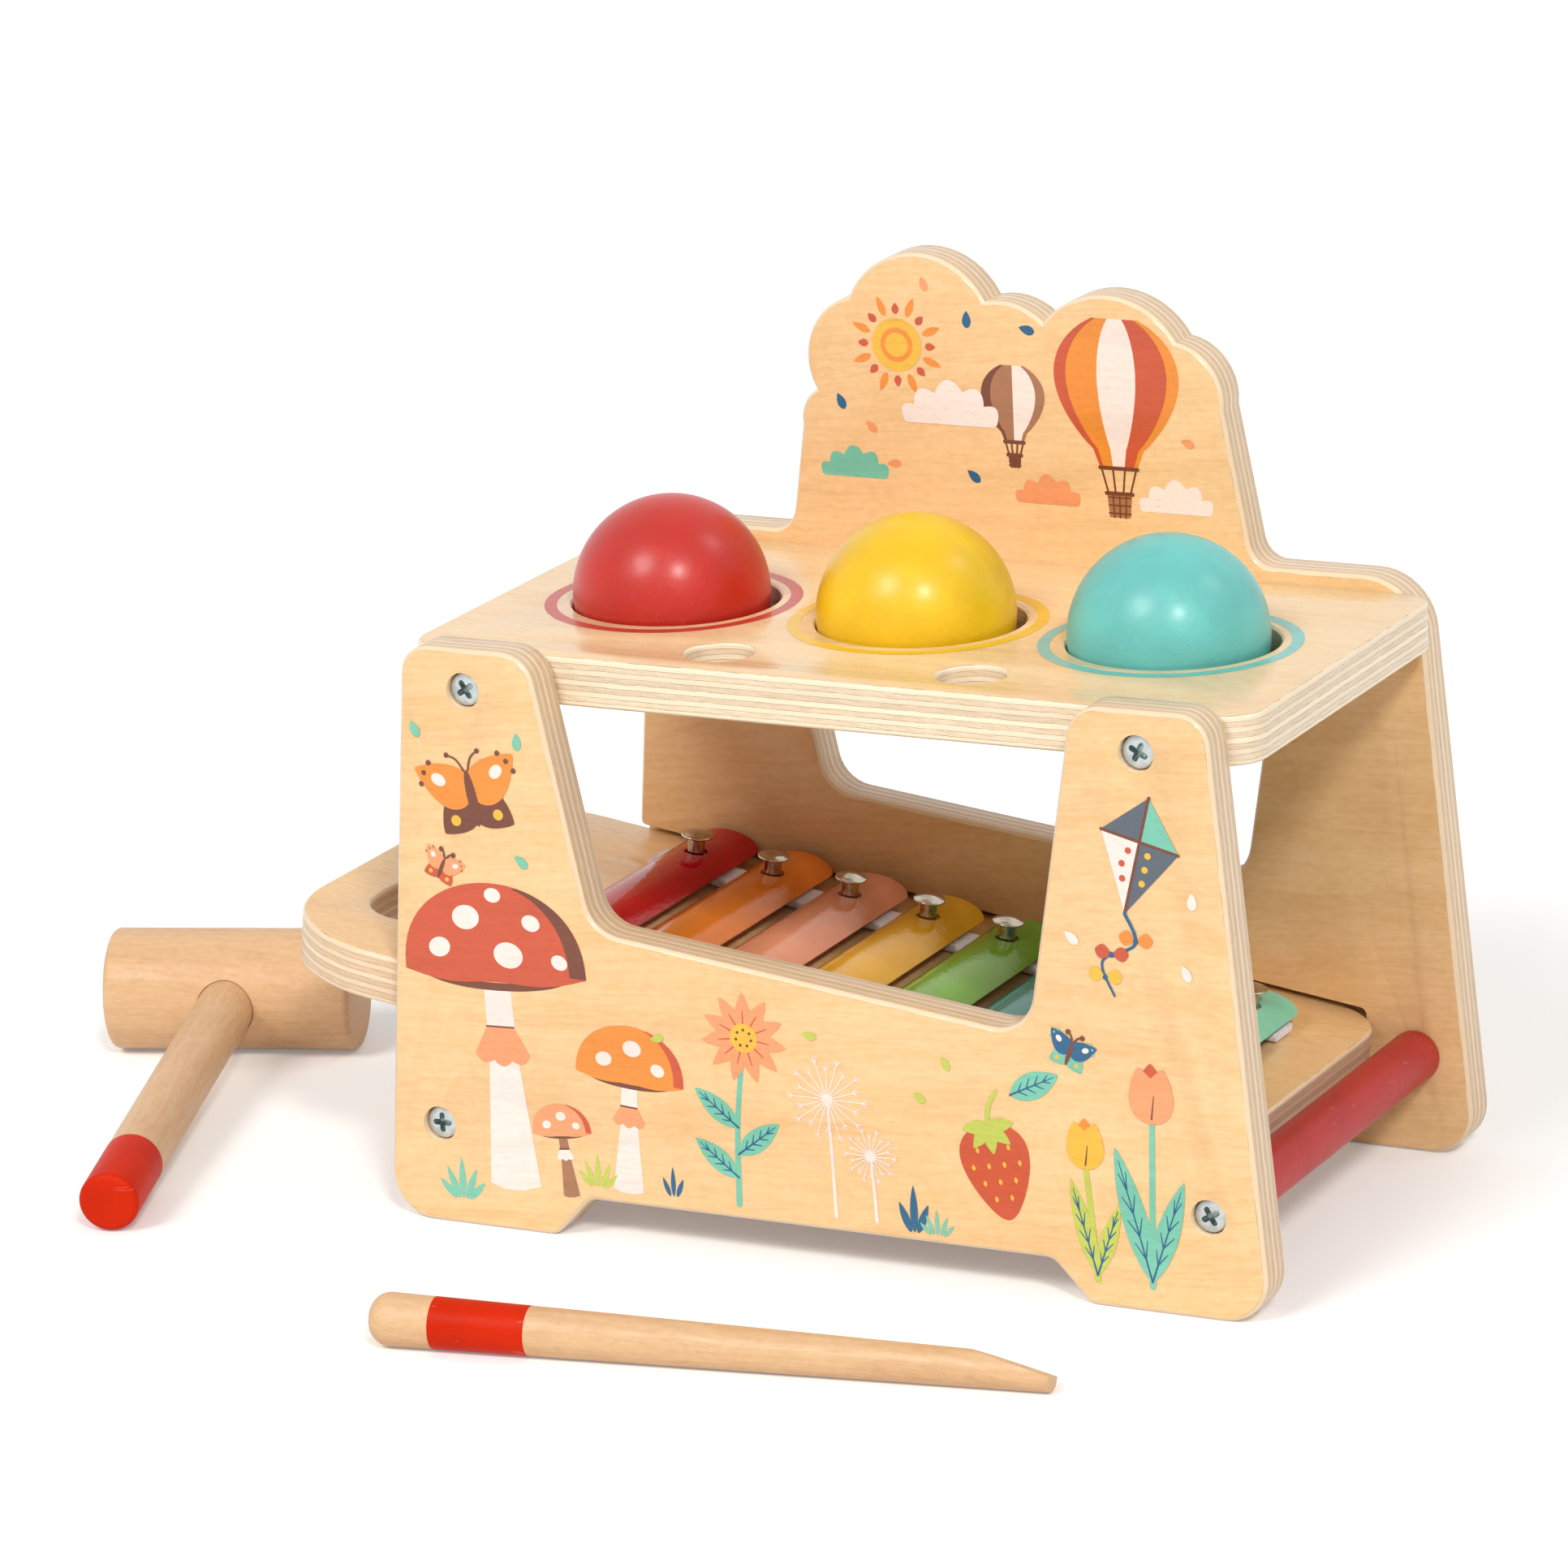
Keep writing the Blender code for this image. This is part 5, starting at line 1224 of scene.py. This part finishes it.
class BenchPins(bpy.types.Operator):
    """Stand polished wide-headed pins in the place of the plain ones"""
    bl_idname = "bench.pins"
    bl_label = "Pins"

    def execute(self, context):
        """Build and place the pieces."""
        material = plated("pin_nickel_plate", 0xC6BAA9, 0x8E7C66, 0.09, 6000)
        low, high = tray_box("pin_1_back")
        head, shank, top, foot = 3.8 * MM, 2.0 * MM, high.z, low.z
        profile = [(head * 0.9 * i / 7, top - 0.75 * MM * (i / 7) ** 2) for i in range(8)]
        profile += arc((head - 0.3 * MM, top - 1.05 * MM), 0.3 * MM, 62, -70, 7)
        profile += [(head * 0.8, top - 1.42 * MM), (shank + 0.3 * MM, top - 1.6 * MM), (shank, top - 1.9 * MM)]
        profile += [(shank, foot + 0.4 * MM), (shank - 0.4 * MM, foot), (0, foot)]
        mesh = as_object("pin_blank", turned(bmesh.new(), profile, 40), [material])
        for number in range(1, 9):
            for side in ("front", "back"):
                node = f"pin_{number}_{side}"
                low, high = tray_box(node)
                item = bpy.data.objects.new(f"nickel_{node}", mesh.data)
                context.scene.collection.objects.link(item)
                item.matrix_world = TRAY_FRAME @ Matrix.Translation(((low.x + high.x) / 2, (low.y + high.y) / 2, 0))
                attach(item, "tray")
                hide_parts(node)
        bpy.data.objects.remove(mesh)
        return {"FINISHED"}


class BenchMallet(bpy.types.Operator):
    """Lay the turned mallet on the ground at the left"""
    bl_idname = "bench.mallet"
    bl_label = "Mallet"

    def execute(self, context):
        """Build and place the pieces."""
        paint = context.scene.bench_paint
        wood, red = beech("mallet_beech_turned"), lacquer("mallet_red", paint.tool_red, 0.42, 1.4, 0.0, 0.08, 0.2)
        radius, half, grip, reach, bored = 14.75 * MM, 30.5 * MM, 7.0 * MM, 120 * MM, 18 * MM
        dip = math.asin(radius / math.hypot(radius + reach, grip)) - math.atan2(grip, radius + reach)
        centre = Vector((MIDDLE_X - 204.9 * MM, PANEL_LOW.y + 95 * MM, radius))
        lying = Matrix.Translation(centre) @ Matrix.Rotation(math.radians(18), 4, "Z")
        profile = [(0, half), (radius * 0.5, half - 0.02 * MM), *arc((radius - 1.6 * MM, half - 1.75 * MM), 1.6 * MM, 84, 0, 7)]
        profile += [(r, -h) for r, h in reversed(profile)]
        head = as_object("turned_mallet_head", turned(bmesh.new(), profile, 96), [wood], lying @ Matrix.Rotation(UPRIGHT, 4, "Y"))
        along_handle = lying @ Matrix.Rotation(UPRIGHT + dip, 4, "X")
        bore = turned(bmesh.new(), [(0, 2 * radius), (grip + 0.12 * MM, 2 * radius), (grip + 0.12 * MM, radius - bored), (0, radius - bored)], 72)
        cut(head, as_object("handle_bore", bore, [], along_handle))
        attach(head, "mallet")
        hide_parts("mallet_head")
        end, start, edge = radius + reach, radius - bored, 1.5 * MM
        line = end - paint.mallet_end
        profile = [(0, end), *arc((grip - edge, end - edge), edge, 90, 0, 6), (grip, line), (grip - 0.05 * MM, line - 0.04 * MM)]
        profile += [(grip - 0.05 * MM, start + 0.4 * MM), (grip - 0.45 * MM, start), (0, start)]
        work = turned(bmesh.new(), profile, 72, lambda step: 1 if step < 8 else 0)
        handle = as_object("turned_mallet_handle", work, [wood, red], along_handle)
        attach(handle, "mallet")
        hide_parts("mallet_handle")
        return {"FINISHED"}


class BenchStick(bpy.types.Operator):
    """Lay the tapered stick on the ground in front"""
    bl_idname = "bench.stick"
    bl_label = "Stick"

    def execute(self, context):
        """Build and place the pieces."""
        paint = context.scene.bench_paint
        wood, red = beech("stick_beech_turned"), lacquer("stick_red", paint.tool_red, 0.42, 1.4, 0.0, 0.08, 0.2)
        length_all, butt, tip, round_butt, round_tip = 153.2 * MM, 5.9 * MM, 3.8 * MM, 4.5 * MM, 0.8 * MM
        taper = math.atan((butt - tip) / (length_all - round_butt - round_tip))
        height = butt * math.cos(taper) + round_butt * math.sin(taper)
        lying = Matrix.Translation((MIDDLE_X - 70.5 * MM, PANEL_LOW.y - 74.8 * MM, height)) @ Matrix.Rotation(math.radians(9), 4, "Z")
        lying = lying @ Matrix.Rotation(UPRIGHT + taper, 4, "Y")
        low, high = paint.band_start, paint.band_start + paint.band_width

        def radius_at(z):
            return butt + (tip - butt) * (z - round_butt) / (length_all - round_butt - round_tip)

        profile = [(0, length_all), *arc((tip - round_tip, length_all - round_tip), round_tip, 90, 0, 4)]
        for i in range(1, 12):
            z = length_all + (high - length_all) * i / 12
            profile.append((radius_at(z), z))
        profile += [(radius_at(high) - 0.03 * MM, high + 0.03 * MM), (radius_at(high), high), (radius_at(low), low),
                    (radius_at(low) - 0.03 * MM, low - 0.03 * MM)]
        profile += arc((butt - round_butt, round_butt), round_butt, 0, -90, 12)
        work = turned(bmesh.new(), profile, 72, lambda step: 1 if step == 18 else 0)
        stick = as_object("turned_stick", work, [wood, red], lying)
        start_radius = tip + (butt - tip) * 18.5 / 153.2
        end_height = 3.4 * MM - tip
        lean = math.atan2(start_radius - end_height, 18.5 * MM)
        wedge = bmesh.new()
        bmesh.ops.create_cube(wedge, size=1)
        bmesh.ops.transform(wedge, matrix=Matrix.Diagonal((0.1, 0.05, 0.1, 1)) @ Matrix.Translation((-0.5, 0, 0)), verts=wedge.verts)
        slope = lying @ Matrix.Rotation(math.radians(-20), 4, "Z")
        slope = slope @ Matrix.Translation((-end_height, 0, length_all)) @ Matrix.Rotation(lean, 4, "Y")
        cut(stick, as_object("wedge", wedge, [], slope))
        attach(stick, "stick")
        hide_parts("stick")
        return {"FINISHED"}


class BenchPrint(bpy.types.Operator):
    """Print the meadow on the front panel and the sky on the crown"""
    bl_idname = "bench.print"
    bl_label = "Printed Pictures"

    def execute(self, context):
        """Build and place the pieces."""
        upright = Matrix.Rotation(UPRIGHT, 4, "X")
        print_on("meadow", front_picture(), Matrix.Translation((MIDDLE_X, PANEL_LOW.y, 0)) @ upright)
        print_on("sky", back_picture(), Matrix.Translation((MIDDLE_X, BACK_LOW.y, 0)) @ upright)
        return {"FINISHED"}


class BenchStage(bpy.types.Operator):
    """Set up the camera, the lamps and the pale floor"""
    bl_idname = "bench.stage"
    bl_label = "Camera, Lamps and Floor"

    def execute(self, context):
        """Build and place the pieces."""
        settings = context.scene.bench_stage
        self.make_camera(context, settings)
        self.make_lamps(context, settings)
        self.make_floor(context, settings)
        self.make_world(context, settings)
        view = context.scene.view_settings
        view.view_transform = "Standard"
        return {"FINISHED"}

    def make_camera(self, context, settings):
        """The camera at the photograph's viewing angle."""
        azimuth, elevation, roll = (math.radians(a) for a in (27.567, 16.14, -2.684))
        target = Vector((MIDDLE_X - 34.357 * MM, PANEL_LOW.y + 60 * MM, 91.756 * MM))
        back = Vector((math.sin(azimuth) * math.cos(elevation), -math.cos(azimuth) * math.cos(elevation), math.sin(elevation)))
        right = (-back).cross(Vector((0, 0, 1))).normalized()
        up = right.cross(-back)
        across = right * math.cos(roll) + up * math.sin(roll)
        above = up * math.cos(roll) - right * math.sin(roll)
        data = bpy.data.cameras.new("camera")
        data.lens = settings.lens
        data.sensor_width = 36
        data.clip_end = 50
        camera = bpy.data.objects.new("camera", data)
        context.scene.collection.objects.link(camera)
        camera.matrix_world = Matrix.Translation(target + back * 1.697253) @ Matrix((across, above, back)).transposed().to_4x4()
        context.scene.camera = camera

    def make_lamps(self, context, settings):
        """Three soft lamps, placed as the camera sees them: rightward, upward and backward."""
        camera = context.scene.camera.matrix_world.to_3x3()
        lamps = (("front_lamp", settings.front, 9, (0.14, 0.39, 0.91)),
                 ("left_lamp", settings.left, 22, (-0.53, 0.49, 0.69)),
                 ("top_lamp", settings.top, 17, (0.62, 0.76, 0.2)))
        for name, power, spread, way in lamps:
            data = bpy.data.lights.new(name, "SUN")
            data.energy = power
            data.angle = math.radians(spread)
            lamp = bpy.data.objects.new(name, data)
            context.scene.collection.objects.link(lamp)
            lamp.rotation_euler = (camera @ Vector(way)).to_track_quat("Z", "Y").to_euler()

    def make_floor(self, context, settings):
        """A pale floor that shows white where no shadow falls."""
        work = bmesh.new()
        bmesh.ops.create_circle(work, cap_ends=True, segments=96, radius=9)
        floor = as_object("floor", work, [])
        floor.location.z = -0.0002
        material, tree, shader, spot = principled("floor_paper", specular_ior_level=0.1)
        fleck = ramped(tree, speckle(tree, spot["Object"], 60.0, 3.0), 0.3, 0.7, 0.0, 0.03)
        shade = blended(tree, fleck, opaque(settings.floor), (0.88, 0.88, 0.88, 1))
        tree.links.new(shade, shader.inputs["Base Color"])
        shader.inputs["Roughness"].default_value = 0.9
        glow = self.background_share(tree)
        lit = maths(tree, "MULTIPLY", glow, 0.2)
        emission = place(tree, "ShaderNodeEmission", {"Color": (1, 1, 1, 1), "Strength": lit})
        both = place(tree, "ShaderNodeAddShader", {0: shader.outputs[0], 1: emission.outputs[0]})
        tree.links.new(both.outputs[0], tree.nodes["Material Output"].inputs["Surface"])
        floor.data.materials.append(material)

    def background_share(self, tree):
        """One for rays that show the background: camera, glossy and transmission rays."""
        path = place(tree, "ShaderNodeLightPath").outputs
        seen = maths(tree, "ADD", path["Is Camera Ray"], path["Is Glossy Ray"], clamp=True)
        return maths(tree, "ADD", seen, path["Is Transmission Ray"], clamp=True)

    def make_world(self, context, settings):
        """Even white light, with a white background behind the floor's edge."""
        world = bpy.data.worlds.new("studio")
        world.use_nodes = True
        tree = world.node_tree
        shown = self.background_share(tree)
        strength = maths(tree, "ADD", maths(tree, "MULTIPLY", shown, 1 - settings.world), settings.world)
        tree.links.new(strength, tree.nodes["Background"].inputs["Strength"])
        tree.nodes["Background"].inputs["Color"].default_value = (1, 1, 1, 1)
        context.scene.world = world


STEPS = (BenchStage, BenchPanels, BenchBoard, BenchBalls, BenchRings, BenchDowels, BenchScrews, BenchTray,
         BenchFelts, BenchBars, BenchPins, BenchMallet, BenchStick, BenchPrint)


class BenchSidebar(bpy.types.Panel):
    """Every step of the bench's looks"""
    bl_idname = "BENCH_PT_looks"
    bl_label = "Pounding Bench"
    bl_space_type = "VIEW_3D"
    bl_region_type = "UI"
    bl_category = "Pounding Bench"

    def draw(self, context):
        """List the operators and the settings."""
        for step in STEPS:
            self.layout.operator(step.bl_idname)
        for name in SETTINGS:
            settings = getattr(context.scene, name)
            box = self.layout.box()
            box.label(text=settings.bl_rna.description)
            for key in settings.__annotations__:
                box.prop(settings, key)


SETTINGS = {"bench_wood": WoodSettings, "bench_paint": PaintSettings, "bench_print": PrintSettings, "bench_stage": StageSettings}
CLASSES = (*SETTINGS.values(), *STEPS, BenchSidebar)


def register():
    """Register the settings, the operators and the panel."""
    for item in CLASSES:
        bpy.utils.register_class(item)
    for name, group in SETTINGS.items():
        setattr(bpy.types.Scene, name, PointerProperty(type=group))


def unregister():
    """Remove what register added."""
    for name in SETTINGS:
        delattr(bpy.types.Scene, name)
    for item in reversed(CLASSES):
        bpy.utils.unregister_class(item)


def run_step(step):
    """Run one operator and stop if it can't finish."""
    group, name = step.bl_idname.split(".")
    result = getattr(getattr(bpy.ops, group), name)()
    if result != {"FINISHED"}:
        raise RuntimeError(f"{step.bl_idname} did not finish")


def main():
    """Register the settings and operators, then run every step."""
    register()
    for step in STEPS:
        run_step(step)


if __name__ == "__main__":
    main()
